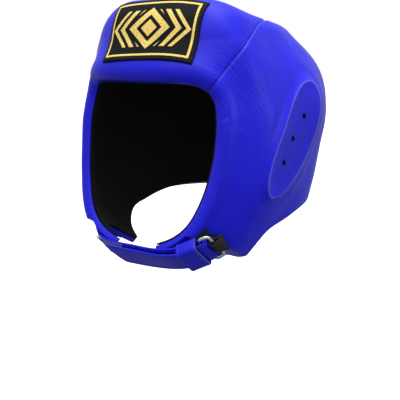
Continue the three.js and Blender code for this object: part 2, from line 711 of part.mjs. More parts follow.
// Tab: sewn to the left jaw, it goes round the ring's far bar and back under itself.
function ringTab() {
  const bar = strapEnd.clone().addScaledVector(ringShort, RING.short - RING.wire);
  const turn = RING.wire / 2 + TAB.thickness / 2 + TAB.play;
  const seat = nearestNode(bar.clone().addScaledVector(ringShort, TAB.length));
  const under = raised(seat, SEAT + TAB.thickness / 2);
  const over = raised(seat, SEAT + TAB.thickness * 1.5 + TAB.layerGap);
  const round = [0, 0.25, 0.5, 0.75, 1].map((part) => {
    const angle = part * Math.PI;
    const point = bar.clone().addScaledVector(ringNormal, turn * Math.cos(angle));
    return point.addScaledVector(ringShort, -turn * Math.sin(angle));
  });
  const middle = (a, b) => a.clone().lerp(b, 0.5);
  const points = [over, middle(over, round[0]), ...round, middle(under, round[4]), under];
  const normal = outerNormal(seat);
  const flat = lean.clone().addScaledVector(normal, -lean.dot(normal)).normalize();
  const half = middle(lean, flat);
  return ribbon(points, [flat, half, ...round.map(() => lean), half, flat], TAB.width, TAB.thickness);
}

function material(color, roughness, metalness = 0) {
  return new THREE.MeshStandardMaterial({ color, roughness, metalness });
}

function mesh(name, geometry, look) {
  const piece = new THREE.Mesh(geometry, look);
  piece.name = name;
  return piece;
}

const none = () => 0;
const vents = VENTS.map(ventCutter);
const leftPad = subtract(wall([sidePanel(PANEL_GAP, false)], none, padThickness), vents);
const foreheadPad = wall([foreheadPanel(PANEL_GAP, false)], none, padThickness);
const sideLining = sidePanel(0, true);
const liningSkin = wall(
  [foreheadPanel(0, true), sideLining, mirrorGrid(sideLining).map((line) => line.toReversed())],
  () => -LINING.clearance - LINING.thickness,
  () => -LINING.clearance,
);
const lining = subtract(liningSkin, [...vents, ...vents.map(mirrorX)]);
const patch = wall(
  [patchGrid()],
  (azimuth, row) => padThickness(azimuth, row) + PATCH.clearance,
  (azimuth, row) => padThickness(azimuth, row) + PATCH.clearance + PATCH.thickness,
);
const overPad = (azimuth, row) => fullThickness(azimuth, headPoint(azimuth, row).z) + CLOSURE.clearance;
const closure = wall([closureGrid()], overPad, (azimuth, row) => overPad(azimuth, row) + CLOSURE.thickness);

const headgear = new THREE.Group();
headgear.add(
  mesh('forehead_pad', foreheadPad, material(BLUE, 0.4)),
  mesh('left_side_pad', leftPad, material(BLUE, 0.4)),
  mesh('right_side_pad', mirrorX(leftPad), material(BLUE, 0.4)),
  mesh('lining', lining, material(BLACK, 0.8)),
  mesh('front_patch', patch, material(0x24262a, 0.85)),
  mesh('back_strap', closure, material(BLUE, 0.45)),
  mesh('chin_strap', strapRibbon(), material(BLUE, 0.45)),
  mesh('strap_keeper', keeperBand(), material(BLUE, 0.45)),
  mesh('strap_ring', ringHoop(), material(0xc8ccd0, 0.2, 1)),
  mesh('ring_tab', ringTab(), material(BLACK, 0.8)),
);

export default headgear;
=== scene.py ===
"""Looks of an open-face boxing headgear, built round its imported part.

Lengths are millimetres until a mesh is made. +Z is up, the face looks along -Y and the
wearer's left is +X. Azimuth is the angle round from the face, in radians, and a row is a
fractional place in the table of head sections.
"""

import logging
from dataclasses import dataclass, field
from enum import Enum
from functools import partial
from typing import Callable, Sequence

import bpy
import numpy as np
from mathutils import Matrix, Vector


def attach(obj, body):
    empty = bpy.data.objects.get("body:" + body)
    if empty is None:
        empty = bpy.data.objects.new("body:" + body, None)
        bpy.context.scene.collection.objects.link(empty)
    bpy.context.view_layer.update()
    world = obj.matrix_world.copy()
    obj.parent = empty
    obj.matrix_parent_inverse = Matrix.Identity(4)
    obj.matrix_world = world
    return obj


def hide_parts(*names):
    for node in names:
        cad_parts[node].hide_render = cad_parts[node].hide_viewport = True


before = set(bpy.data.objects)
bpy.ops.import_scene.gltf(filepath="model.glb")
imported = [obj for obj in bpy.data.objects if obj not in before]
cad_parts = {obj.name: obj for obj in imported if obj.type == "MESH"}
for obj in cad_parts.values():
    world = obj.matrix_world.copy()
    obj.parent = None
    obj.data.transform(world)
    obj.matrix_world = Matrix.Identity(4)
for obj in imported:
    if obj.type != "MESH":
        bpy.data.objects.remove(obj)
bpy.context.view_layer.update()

LOG = logging.getLogger("headgear")
MM = 0.001
BODY = "root"
Array = np.ndarray
Line = Callable[[Array], Array]


# Small numeric helpers


def smooth(low: float, high: float, x: Array) -> Array:
    """Smooth step: 0 at low, 1 at high, level at both."""
    t = np.clip((x - low) / (high - low), 0.0, 1.0)
    return t * t * (3.0 - 2.0 * t)


def bump(x: Array, width: float) -> Array:
    """Bell of height 1 and the given half width."""
    return np.exp(-((x / width) ** 2))


def mix(a: Array, b: Array, t: Array) -> Array:
    """Straight blend from a to b."""
    return a + (b - a) * t


def unit(v: Array) -> Array:
    """Vectors along the last axis, scaled to length 1."""
    return v / np.linalg.norm(v, axis=-1, keepdims=True)


def clustered(count: int, strength: float = 0.85) -> Array:
    """Parameters from 0 to 1 that crowd towards both ends.

    Args:
        count: How many parameters.
        strength: 0 for even spacing, towards 1 for tighter ends.

    Returns:
        t - strength * sin(2 pi t) / (2 pi) for even t.
    """
    t = np.linspace(0.0, 1.0, count)
    return t - strength * np.sin(2 * np.pi * t) / (2 * np.pi)


def lengths_along(points: Array) -> Array:
    """Length of a path of points from its start to each of them."""
    return np.concatenate([[0.0], np.cumsum(np.linalg.norm(np.diff(points, axis=0), axis=1))])


def read_table(places: Array, table: Array, at: Array) -> Array:
    """Every column of a table with one row for each place, read at other places."""
    return np.stack([np.interp(at, places, column) for column in table.T], axis=-1)


def spline(values: Array, t: Array) -> Array:
    """Uniform Catmull-Rom spline through numbers, with doubled end points.

    Args:
        values: The numbers, one for each whole t.
        t: Where to read the spline.

    Returns:
        The spline at each t.
    """
    last = len(values) - 1
    i = np.clip(np.floor(t).astype(int), 0, last - 1)
    s = t - i
    before, here = values[np.maximum(i - 1, 0)], values[i]
    there, after = values[i + 1], values[np.minimum(i + 2, last)]
    v1, v2 = (there - before) / 2, (after - here) / 2
    cubic = 2 * (here - there) + v1 + v2
    square = 3 * (there - here) - 2 * v1 - v2
    return here + s * (v1 + s * (square + s * cubic))


# Large odd numbers that scatter the lattice's corners, and the size of what they give
LATTICE_KEYS = np.array([73856093, 19349663, 83492791])
SEED_KEY = 7919
SCATTER_KEY = 1274126177
NOISE_TOP = 0xFFFF


def value_noise(points: Array, seed: int) -> Array:
    """Smooth noise from 0 to 1.

    Each corner of a unit lattice has a random number, and a point blends the eight
    corners of its cell with a smooth step along each axis.

    Args:
        points: Places, three numbers along the last axis.
        seed: Which noise.

    Returns:
        One number for each place.
    """
    cell = np.floor(points).astype(np.int64)
    part = points - cell
    blend = part * part * (3 - 2 * part)
    total = np.zeros(points.shape[:-1])
    for corner in np.ndindex(2, 2, 2):
        key = (cell + corner) @ LATTICE_KEYS + seed * SEED_KEY
        key = (key ^ (key >> 13)) * SCATTER_KEY
        number = ((key ^ (key >> 16)) & NOISE_TOP) / NOISE_TOP
        total += np.prod(np.where(corner, blend, 1 - blend), axis=-1) * number
    return total


# The head and the outlines of its panels


@dataclass(frozen=True)
class Section:
    """A horizontal section of the head hollow: a superellipse round the vertical axis."""

    z: float
    side: float
    front: float
    back: float
    front_square: float
    back_square: float


@dataclass
class HeadForm:
    """The head hollow that the lining follows, as sections from crown to chin."""

    sections: tuple[Section, ...] = (
        Section(0, 28, 22, 42, 2.2, 2.2),
        Section(-6, 49.5, 49, 52, 3.6, 2.0),
        Section(-30, 65.5, 67, 82, 3.6, 2.35),
        Section(-55, 77, 85, 102, 3.2, 3.1),
        Section(-85, 84, 98, 111, 3.2, 2.8),
        Section(-118, 84, 109, 106, 3.0, 2.5),
        Section(-148, 81, 115, 96, 2.8, 2.5),
        Section(-176, 76, 111, 84, 2.6, 2.5),
        Section(-198, 68, 92, 69, 2.4, 2.4),
        Section(-216, 56, 58, 50, 2.2, 2.3),
    )
    step: float = 1e-3
    halvings: int = 40

    def column(self, name: str, row: Array) -> Array:
        """One column of the sections, read at fractional rows."""
        return spline(np.array([getattr(s, name) for s in self.sections], float), row)

    def point(self, azimuth: Array, row: Array) -> Array:
        """Point of the hollow: r = ((|sin| / side)^n + (|cos| / depth)^n)^(-1/n).

        Args:
            azimuth: Angle round from the face.
            row: Place in the sections.

        Returns:
            The points, three numbers along the last axis.
        """
        s, c = np.sin(azimuth), np.cos(azimuth)
        ahead = c > 0
        depth = np.where(ahead, self.column("front", row), self.column("back", row))
        power = np.where(ahead, self.column("front_square", row), self.column("back_square", row))
        side = self.column("side", row)
        r = ((np.abs(s) / side) ** power + (np.abs(c) / depth) ** power) ** (-1 / power)
        return np.stack([r * s, -r * c, self.column("z", row)], axis=-1)

    def normal(self, azimuth: Array, row: Array) -> Array:
        """Outward direction of the hollow: down along the rows crossed with round.

        Args:
            azimuth: Angle round from the face.
            row: Place in the sections.

        Returns:
            The directions, of length 1.
        """
        low = np.maximum(row - self.step, 0.0)
        around = self.point(azimuth + self.step, row) - self.point(azimuth - self.step, row)
        down = self.point(azimuth, low + 2 * self.step) - self.point(azimuth, low)
        return unit(np.cross(down, around))

    def offset(self, azimuth: Array, row: Array, height: Array) -> Array:
        """Point at a height over the hollow."""
        return self.point(azimuth, row) + self.normal(azimuth, row) * np.asarray(height)[..., None]

    def row_at(self, z: Array) -> Array:
        """Row at a height, by bisection, because the heights only fall.

        Args:
            z: The heights.

        Returns:
            The fractional row of each height.
        """
        z = np.asarray(z, float)
        low, high = np.zeros_like(z), np.full_like(z, len(self.sections) - 1)
        for _ in range(self.halvings):
            middle = (low + high) / 2
            above = self.column("z", middle) > z
            low, high = np.where(above, middle, low), np.where(above, high, middle)
        return (low + high) / 2


class Edge:
    """A panel edge: a spline through stations, read by its length along the head."""

    def __init__(
        self, head: HeadForm, stations: Sequence[tuple[float, float]], samples: int = 120,
    ) -> None:
        """Lays the edge on the head.

        Args:
            head: The head hollow.
            stations: Azimuth in degrees and height of each station.
            samples: How many straight pieces stand for the curve.
        """
        table = np.array(stations, float)
        t = np.linspace(0, len(table) - 1, samples + 1)
        rows = head.row_at(table[:, 1])
        self.nodes = np.stack([spline(np.radians(table[:, 0]), t), spline(rows, t)], axis=-1)
        self.points = head.point(self.nodes[:, 0], self.nodes[:, 1])
        self.lengths = lengths_along(self.points)

    def at(self, fraction: Array) -> Array:
        """Azimuth and row at fractions of the edge's length."""
        return read_table(self.lengths, self.nodes, np.clip(fraction, 0, 1) * self.lengths[-1])

    def nearest(self, points: Array) -> tuple[Array, Array]:
        """Distance to the edge and the place along it that is nearest.

        Args:
            points: Places on the head.

        Returns:
            Distance, and length along the edge, for each place.
        """
        best = np.full(points.shape[:-1], np.inf)
        along = np.zeros(points.shape[:-1])
        for i in range(len(self.points) - 1):
            start, way = self.points[i], self.points[i + 1] - self.points[i]
            t = np.clip((points - start) @ way / (way @ way), 0, 1)
            gap = np.sum((points - start - t[..., None] * way) ** 2, axis=-1)
            closer = gap < best
            best = np.where(closer, gap, best)
            along = np.where(closer, mix(self.lengths[i], self.lengths[i + 1], t), along)
        return np.sqrt(best), along


@dataclass
class Outline:
    """The sewn and open edges of the panels on the wearer's left."""

    head: HeadForm
    face_rim: tuple[tuple[float, float], ...] = (
        (0, -56), (22, -56), (36, -57.5), (43.5, -63), (47, -76),
        (46.5, -108), (42, -146), (34, -176), (25, -190.5), (14, -199),
    )
    seam_corner: int = 3
    seam_line: tuple[tuple[float, float], ...] = (
        (43.5, -63), (56, -40), (70, -22.5), (86, -14.5), (104, -11), (122, -9),
    )
    crown_edge: tuple[tuple[float, float], ...] = ((0, -1), (60, -2.5), (122, -9), (180, -13))
    crown_corner: int = 2
    lower_edge: tuple[tuple[float, float], ...] = (
        (14, -199), (23, -196), (33, -193), (40, -197), (48, -208), (55, -212.5),
        (64, -201), (76, -186.5), (92, -180.5), (118, -173), (150, -169), (180, -168),
    )
    back_middle: tuple[float, float] = (180, -88)

    def __post_init__(self) -> None:
        """Lays every edge on the head."""
        corner, turn = self.seam_corner, self.crown_corner
        self.brow = Edge(self.head, self.face_rim[: corner + 1])
        self.cheek = Edge(self.head, self.face_rim[corner:])
        self.seam = Edge(self.head, self.seam_line)
        self.crown_front = Edge(self.head, self.crown_edge[: turn + 1])
        self.crown_rear = Edge(self.head, self.crown_edge[turn:])
        self.lower = Edge(self.head, self.lower_edge)
        self.back = Edge(self.head, (self.lower_edge[-1], self.back_middle, self.crown_edge[-1]))


@dataclass
class EarCup:
    """An oval ridge with a sunken face over the ear, its top leaning back, and its vents."""

    head: HeadForm
    azimuth: float = 88.5
    z: float = -107
    lean: float = 37
    half_width: float = 22
    half_length: float = 52
    swell: float = 5.6
    swell_from: float = -6
    swell_to: float = 26
    bead: float = 1.4
    bead_width: float = 3.4
    hollow: float = 0.8
    hollow_from: float = -15
    hollow_to: float = -2
    valley: float = 0.8
    valley_at: float = 7
    valley_width: float = 4
    shoulder: float = 4.5
    shoulder_across: float = 16
    shoulder_along: float = 50
    shoulder_radius: float = 24
    vent_places: tuple[tuple[float, float], ...] = ((-2.3, 25.7), (-5, 0.4), (-3, -23.2))
    vent_outer: float = 4.4
    vent_inner: float = 1.9
    vent_depth: float = 60
    far_reach: float = 99

    def __post_init__(self) -> None:
        """Sets the cup's centre and axes in the tangent plane of the head."""
        azimuth, row = np.radians(self.azimuth), self.head.row_at(self.z)
        self.centre = self.head.point(azimuth, row)
        self.normal = self.head.normal(azimuth, row)
        back = unit(np.cross([0, 0, 1], self.normal))
        up = np.cross(self.normal, back)
        self.along = up * np.cos(np.radians(self.lean)) + back * np.sin(np.radians(self.lean))
        self.across = np.cross(self.along, self.normal)

    def polar(self, points: Array) -> tuple[Array, Array]:
        """Distance outwards from the oval, in millimetres, and angle round it from its top.

        The distance is the oval's radius less 1, over the steepness of that radius.

        Args:
            points: Places on the head.

        Returns:
            Distance, negative inside the oval, and angle.
        """
        offset = points - self.centre
        x, y = offset @ self.across / self.half_width, offset @ self.along / self.half_length
        radius = np.maximum(np.hypot(x, y), 1e-6)
        steep = np.hypot(x / self.half_width, y / self.half_length) / radius
        reach = (radius - 1) / np.maximum(steep, 1 / self.half_length)
        far = offset @ self.normal < -self.half_length
        return np.where(far, self.far_reach, reach), np.arctan2(x, y)

    def relief(self, points: Array) -> Array:
        """Height of the cup over the padding.

        A broad swell and a shoulder, plus a bead on the oval, less a sunken face inside it
        and a valley outside it.

        Args:
            points: Places on the head.

        Returns:
            The height at each place.
        """
        reach, _ = self.polar(points)
        swell = self.swell * (1 - smooth(self.swell_from, self.swell_to, reach))
        hollow = self.hollow * (1 - smooth(self.hollow_from, self.hollow_to, reach))
        valley = self.valley * bump(reach - self.valley_at, self.valley_width)
        offset = points - self.centre
        across = offset @ self.across - self.shoulder_across
        along = offset @ self.along - self.shoulder_along
        shoulder = self.shoulder * bump(np.hypot(across, along), self.shoulder_radius)
        shoulder = np.where(offset @ self.normal < -self.half_length, 0.0, shoulder)
        return swell + shoulder + self.bead * bump(reach, self.bead_width) - hollow - valley

    def star_prisms(self, mirror: bool) -> tuple[Array, Array]:
        """Straight five-pointed prisms through the pad, one for each vent.

        Args:
            mirror: True for the wearer's right.

        Returns:
            Vertices and faces of the prisms, each point a quad to the prism's axis.
        """
        corner = np.arange(10)
        reach = np.where(corner % 2, self.vent_inner, self.vent_outer)
        angle = (corner * np.pi / 5)[:, None]
        flat = reach[:, None] * (np.cos(angle) * self.along + np.sin(angle) * self.across)
        flat = np.concatenate([flat, np.zeros((1, 3))])
        places = np.array(self.vent_places)
        middles = self.centre + places[:, :1] * self.across + places[:, 1:] * self.along
        ends = np.array([-0.5, 0.5])[:, None, None] * self.vent_depth * self.normal
        vertices = (middles[:, None, None] + ends[None] + flat[None, None]).reshape(-1, 3)
        after = (corner + 1) % 10
        sides = np.stack([corner, after, after + 11, corner + 11], axis=-1)
        even = corner[::2]
        caps = np.stack([even, np.full(5, 10), (even + 2) % 10, even + 1], axis=-1)
        one = np.concatenate([sides, caps[:, ::-1], caps + 11])
        faces = (one[None] + 22 * np.arange(len(places))[:, None, None]).reshape(-1, 4)
        if mirror:
            return vertices * [-1, 1, 1], faces
        return vertices, faces[:, ::-1]


@dataclass
class Padding:
    """Thickness of the padding over the head, the same to both sides."""

    outline: Outline
    ear: EarCup
    full_azimuths: tuple[float, ...] = (0, 45, 90, 150, 180)
    full_sizes: tuple[float, ...] = (24, 24, 21, 19, 19)
    jaw: float = 5.5
    crease_azimuth: float = 37
    crease_z: float = -171
    crease_fall: float = 0.97
    crease_blend: float = 18
    rim_edge: float = 1.2
    rim_roll: float = 11.5
    rim_radius: float = 6.5
    brow_roll: float = 13
    brow_radius: float = 15
    groove: float = 0.3
    groove_at: float = 10
    groove_width: float = 4.0
    swell_brow: float = 70
    swell_cheek: float = 41
    swell_from: float = 34
    swell_to: float = 62
    brow_z: float = -66
    cheek_z: float = -100
    lower_edge: float = 4.5
    lower_radius: float = 7
    crown_edge: float = 3.0
    crown_radius: float = 22
    back_edge: float = 9
    back_radius: float = 8
    seam_dip: float = 0.3
    seam_dip_width: float = 4.5
    seam_cut: float = 1.1
    seam_cut_width: float = 0.9
    least: float = 1.0

    def full(self, azimuth: Array, z: Array) -> Array:
        """Thickness away from every edge: blends round the head, thin on the jaw.

        Args:
            azimuth: Angle round from the face.
            z: Height on the head.

        Returns:
            The thickness at each place.
        """
        degrees = np.degrees(np.arccos(np.cos(azimuth)))
        azimuths, sizes = np.array(self.full_azimuths), np.array(self.full_sizes)
        i = np.clip(np.searchsorted(azimuths, degrees) - 1, 0, len(azimuths) - 2)
        t = np.clip((degrees - azimuths[i]) / (azimuths[i + 1] - azimuths[i]), 0, 1)
        size = mix(sizes[i], sizes[i + 1], t * t * (3 - 2 * t))
        crease = self.crease_z - (degrees - self.crease_azimuth) * self.crease_fall
        return mix(size, self.jaw, smooth(0, self.crease_blend, crease - z))

    @staticmethod
    def rounded(distance: Array, edge: float, full: Array, radius: Array | float) -> Array:
        """Quarter of an ellipse that rises from the edge to the full thickness."""
        s = 1 - np.clip(distance / radius, 0, 1)
        return edge + (full - edge) * np.sqrt(1 - s * s)

    def thickness(self, azimuth: Array, row: Array) -> Array:
        """Thickness of the pad, from its distances to the panel edges.

        Args:
            azimuth: Angle round from the face.
            row: Place in the head sections.

        Returns:
            The least of what each edge allows, less the seam's dip, plus the ear cup.
        """
        lines = self.outline
        point = lines.head.point(np.arccos(np.cos(azimuth)), row)
        degrees = np.degrees(np.arccos(np.cos(azimuth)))
        full = self.full(azimuth, point[..., 2])
        rim = np.minimum(lines.brow.nearest(point)[0], lines.cheek.nearest(point)[0])
        crown = np.minimum(lines.crown_front.nearest(point)[0], lines.crown_rear.nearest(point)[0])
        below = smooth(self.brow_z, self.cheek_z, point[..., 2])
        cheek = np.maximum(smooth(self.swell_from, self.swell_to, degrees), below)
        reach = mix(self.swell_brow, self.swell_cheek, cheek)
        high = mix(self.brow_roll, self.rim_roll, cheek)
        radius = mix(self.brow_radius, self.rim_radius, cheek)
        rise = np.clip((rim - radius) / (reach - radius), 0, 1)
        swell = (full - high) * rise * rise * (3 - 2 * rise)
        roll = self.rounded(rim, self.rim_edge, high, radius)
        at_rim = roll + swell - cheek * self.groove * bump(rim - self.groove_at, self.groove_width)
        at_lower = self.rounded(lines.lower.nearest(point)[0], self.lower_edge, full, self.lower_radius)
        at_crown = self.rounded(crown, self.crown_edge, full, self.crown_radius)
        at_back = self.rounded(lines.back.nearest(point)[0], self.back_edge, full, self.back_radius)
        seam = lines.seam.nearest(point)[0]
        dip = self.seam_dip * bump(seam, self.seam_dip_width)
        dip = dip + self.seam_cut * bump(seam, self.seam_cut_width)
        least = np.minimum(np.minimum(at_rim, at_lower), np.minimum(at_crown, at_back))
        return np.maximum(least - dip + self.ear.relief(point), self.least)

    def surface(self, azimuth: Array, row: Array, lift: Array | float = 0.0) -> Array:
        """Point at a height over the outside of the pads."""
        return self.outline.head.offset(azimuth, row, self.thickness(azimuth, row) + lift)

    def outward(self, azimuth: Array, row: Array, step: float = 1e-3) -> Array:
        """Outward direction of the outside of the pads.

        Args:
            azimuth: Angle round from the face.
            row: Place in the head sections.
            step: Half the stretch that the slope is read over.

        Returns:
            The directions, of length 1.
        """
        around = self.surface(azimuth + step, row) - self.surface(azimuth - step, row)
        down = self.surface(azimuth, row + step) - self.surface(azimuth, row - step)
        return unit(np.cross(down, around))


# Meshes


def grid_quads(rows: int, columns: int, wrap: bool = False) -> Array:
    """Quads of a grid of points stored row by row.

    Args:
        rows: Points up the grid.
        columns: Points along a row.
        wrap: True if the last column joins the first.

    Returns:
        Four point numbers for each quad.
    """
    across = np.arange(columns if wrap else columns - 1)
    here = np.arange(rows - 1)[:, None] * columns + across
    there = np.arange(rows - 1)[:, None] * columns + (across + 1) % columns
    return np.stack([here, there, there + columns, here + columns], axis=-1).reshape(-1, 4)


def wall(outer: Array, inner: Array) -> tuple[Array, Array]:
    """Closed wall between two grids of points with the same layout.

    Args:
        outer: Outside grid, rows by columns by 3.
        inner: Inside grid.

    Returns:
        Vertices, outside first, and quads that face outwards.
    """
    rows, columns = outer.shape[:2]
    ids = np.arange(rows * columns).reshape(rows, columns)
    rim = np.concatenate([ids[0, :-1], ids[:-1, -1], ids[-1, :0:-1], ids[:0:-1, 0]])
    after = np.roll(rim, -1)
    count = rows * columns
    skin = grid_quads(rows, columns)
    sides = np.stack([after, rim, rim + count, after + count], axis=-1)
    quads = np.concatenate([skin, skin[:, ::-1] + count, sides])
    return np.concatenate([outer.reshape(-1, 3), inner.reshape(-1, 3)]), quads


def sweep(
    path: Array, side: Array, out: Array, profile: Array, closed: bool = False,
) -> tuple[Array, Array]:
    """A profile carried along a path.

    Args:
        path: Points of the path.
        side: Direction of the profile's first axis at each point.
        out: Direction of its second axis.
        profile: Closed outline, an even number of pairs that mirror about their middle.
        closed: True if the path ends where it starts.

    Returns:
        Vertices and quads, with the ends of an open path closed by strips.
    """
    rings = path[:, None] + profile[:, :1] * side[:, None] + profile[:, 1:] * out[:, None]
    count, around = rings.shape[:2]
    quads = grid_quads(count + int(closed), around, wrap=True) % (count * around)
    if not closed:
        low = np.arange(around // 2 - 1)
        cap = np.stack([low, low + 1, around - 2 - low, around - 1 - low], axis=-1)
        quads = np.concatenate([quads, cap, cap[:, ::-1] + (count - 1) * around])
    return rings.reshape(-1, 3), quads


def rounded_profile(width: float, height: float, corner: float, steps: int = 4) -> Array:
    """Outline of a rounded bar, anticlockwise from the middle of its right side.

    Args:
        width: Size along the first axis.
        height: Size along the second.
        corner: Radius of the corners.
        steps: Points on each corner, less one.

    Returns:
        Pairs, an even number, mirrored about the first axis.
    """
    turn = np.linspace(0, np.pi / 2, steps + 1)
    quarters = np.arange(4)[:, None] * np.pi / 2 + turn
    centre_x = (width / 2 - corner) * np.array([1, -1, -1, 1])[:, None]
    centre_y = (height / 2 - corner) * np.array([1, 1, -1, -1])[:, None]
    x = centre_x + corner * np.cos(quarters)
    y = centre_y + corner * np.sin(quarters)
    return np.stack([x, y], axis=-1).reshape(-1, 2)


def outward_quads(vertices: Array, quads: Array) -> Array:
    """The quads, turned round if the closed mesh has a negative volume.

    Args:
        vertices: Points of the mesh.
        quads: Four point numbers for each face.

    Returns:
        Quads that face outwards.
    """
    a, b, c, d = (vertices[quads[:, k]] for k in range(4))
    volume = np.sum(a * np.cross(b, c)) + np.sum(a * np.cross(c, d))
    return quads if volume > 0 else quads[:, ::-1]


@dataclass
class Piece:
    """A mesh of the object: its shape, its finishes and what it stands for."""

    name: str
    vertices: Array
    quads: Array
    finishes: Sequence[bpy.types.Material]
    slot: str
    face_finish: Array | None = None
    maps: dict[str, Array] = field(default_factory=dict)
    replaces: tuple[str, ...] = ()
    crease_angle: float = 45

    def build(self) -> bpy.types.Object:
        """Makes the object, dresses it and lets it ride on the body.

        Returns:
            The new object, at the origin with its place in its mesh.
        """
        mesh = bpy.data.meshes.new(self.name)
        quads = outward_quads(self.vertices, self.quads)
        mesh.vertices.add(len(self.vertices))
        mesh.vertices.foreach_set("co", (self.vertices * MM).astype(np.float32).ravel())
        mesh.loops.add(quads.size)
        mesh.loops.foreach_set("vertex_index", quads.astype(np.int32).ravel())
        mesh.polygons.add(len(quads))
        mesh.polygons.foreach_set("loop_start", np.arange(0, quads.size, 4, dtype=np.int32))
        for finish in self.finishes:
            mesh.materials.append(finish)
        if self.face_finish is not None:
            mesh.polygons.foreach_set("material_index", self.face_finish.astype(np.int32))
        for name, values in self.maps.items():
            layer = mesh.uv_layers.new(name=name)
            layer.data.foreach_set("uv", values[quads.ravel()].astype(np.float32).ravel())
        mesh.update(calc_edges=True)
        mesh.validate()
        mesh.polygons.foreach_set("use_smooth", np.ones(len(mesh.polygons), bool))
        mesh.set_sharp_from_angle(angle=np.radians(self.crease_angle))
        piece = bpy.data.objects.new(self.name, mesh)
        bpy.context.scene.collection.objects.link(piece)
        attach(piece, BODY)
        if self.replaces:
            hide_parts(*self.replaces)
        LOG.info("%s: %d faces", self.name, len(mesh.polygons))
        return piece


def punch(
    piece: bpy.types.Object, vertices: Array, quads: Array, finish: bpy.types.Material,
) -> None:
    """Cuts holes through a piece.

    Args:
        piece: The piece to cut, changed in place.
        vertices: Corners of the cutters, in millimetres.
        quads: Faces of the cutters.
        finish: What the walls of the holes show.
    """
    mesh = bpy.data.meshes.new("cutter")
    mesh.from_pydata((vertices * MM).tolist(), [], outward_quads(vertices, quads).tolist())
    mesh.materials.append(finish)
    cutter = bpy.data.objects.new("cutter", mesh)
    bpy.context.scene.collection.objects.link(cutter)
    cut = piece.modifiers.new("vents", "BOOLEAN")
    cut.operation, cut.solver = "DIFFERENCE", "EXACT"
    cut.material_mode, cut.object = "TRANSFER", cutter
    bpy.context.view_layer.update()
    shown = piece.evaluated_get(bpy.context.evaluated_depsgraph_get())
    result = bpy.data.meshes.new_from_object(shown)
    piece.modifiers.clear()
    piece.data = result
    bpy.data.objects.remove(cutter)


@dataclass(frozen=True)
class Thread:
    """Machine stitches as short bowed threads."""

    length: float = 2.6
    pitch: float = 3.6
    radius: float = 0.38
    # Each ring's place along half a stitch, and its height in radii
    rings: tuple[float, ...] = (-1.0, -0.55, 0.55, 1.0)
    lifts: tuple[float, ...] = (-0.9, 0.35, 0.35, -0.9)

    def row(self, path: Array, out: Array) -> tuple[Array, Array]:
        """Stitches along a path.

        Each stitch is a square tube of four rings whose ends dip into the leather.

        Args:
            path: Points of the sewing line.
            out: Outward direction at each point.

        Returns:
            Vertices and quads of all the stitches.
        """
        lengths = lengths_along(path)
        count = max(int(lengths[-1] / self.pitch), 1)
        places = (np.arange(count) + 0.5) / count * lengths[-1]
        at = places[:, None] + self.length / 2 * np.array(self.rings)
        lift = self.radius * np.array(self.lifts)
        middles = read_table(lengths, path, at)
        ups = unit(read_table(lengths, out, at))
        forward = unit(middles[:, -1:] - middles[:, :1] + 1e-9)
        sides = unit(np.cross(forward, ups))
        turn = np.arange(4) * np.pi / 2
        middles = middles + ups * lift[None, :, None]
        ring = np.cos(turn)[:, None] * sides[:, :, None] + np.sin(turn)[:, None] * ups[:, :, None]
        vertices = middles[:, :, None] + self.radius * ring
        tube = grid_quads(4, 4, wrap=True)
        one = np.concatenate([tube, [[3, 2, 1, 0]], [[12, 13, 14, 15]]])
        quads = (one[None] + 16 * np.arange(count)[:, None, None]).reshape(-1, 4)
        return vertices.reshape(-1, 3), quads


def joined(parts: Sequence[tuple[Array, Array]]) -> tuple[Array, Array]:
    """Several meshes as one.

    Args:
        parts: Vertices and quads of each mesh.

    Returns:
        All vertices, and all quads with their point numbers moved up.
    """
    starts = np.cumsum([0] + [len(v) for v, _ in parts[:-1]])
    quads = np.concatenate([quad + start for (_, quad), start in zip(parts, starts)])
    return np.concatenate([vertices for vertices, _ in parts]), quads


# Finishes


def linear(hex_colour: str) -> tuple[float, float, float, float]:
    """A linear colour from sRGB hex digits, such as 2424C4.

    Args:
        hex_colour: Two digits each for red, green and blue.

    Returns:
        Red, green, blue and an alpha of 1.
    """
    srgb = np.array([int(hex_colour[i : i + 2], 16) for i in (0, 2, 4)]) / 255
    value = np.where(srgb <= 0.04045, srgb / 12.92, ((srgb + 0.055) / 1.055) ** 2.4)
    return (*value.tolist(), 1.0)


def add_node(
    tree: bpy.types.NodeTree, kind: str, inputs: dict | None = None, **settings: object,
) -> bpy.types.Node:
    """Adds a node with its settings and links.

    Args:
        tree: The material's nodes.
        kind: Blender's name for the node.
        inputs: Socket name or number to a value, or to another node's output.
        settings: Properties of the node.

    Returns:
        The new node.
    """
    node = tree.nodes.new(kind)
    for name, value in settings.items():
        setattr(node, name, value)
    for name, value in (inputs or {}).items():
        if isinstance(value, bpy.types.NodeSocket):
            tree.links.new(value, node.inputs[name])
        else:
            node.inputs[name].default_value = value
    return node


def shader(name: str) -> tuple[bpy.types.Material, bpy.types.NodeTree, bpy.types.Node]:
    """A new material with an empty Principled surface.

    Args:
        name: The finish's name.

    Returns:
        The material, its nodes and the surface node.
    """
    material = bpy.data.materials.new(name)
    material.use_nodes = True
    tree = material.node_tree
    tree.nodes.clear()
    surface = add_node(tree, "ShaderNodeBsdfPrincipled")
    add_node(tree, "ShaderNodeOutputMaterial", {"Surface": surface.outputs["BSDF"]})
    return material, tree, surface


class Field(Enum):
    """Surface maps that creases follow: place along an edge and distance from it."""

    SEAM = "seam_map"
    EAR = "ear_map"
    RIM = "rim_map"


@dataclass(frozen=True)
class Creases:
    """Fine creases that run away from a sewn or shaped line."""

    field: Field
    spacing: float
    length: float
    fade: float
    depth: float
    skew: float = 0.0


# Most values of a noise node lie between these two
NOISE_LOW, NOISE_HIGH = 0.3, 0.7


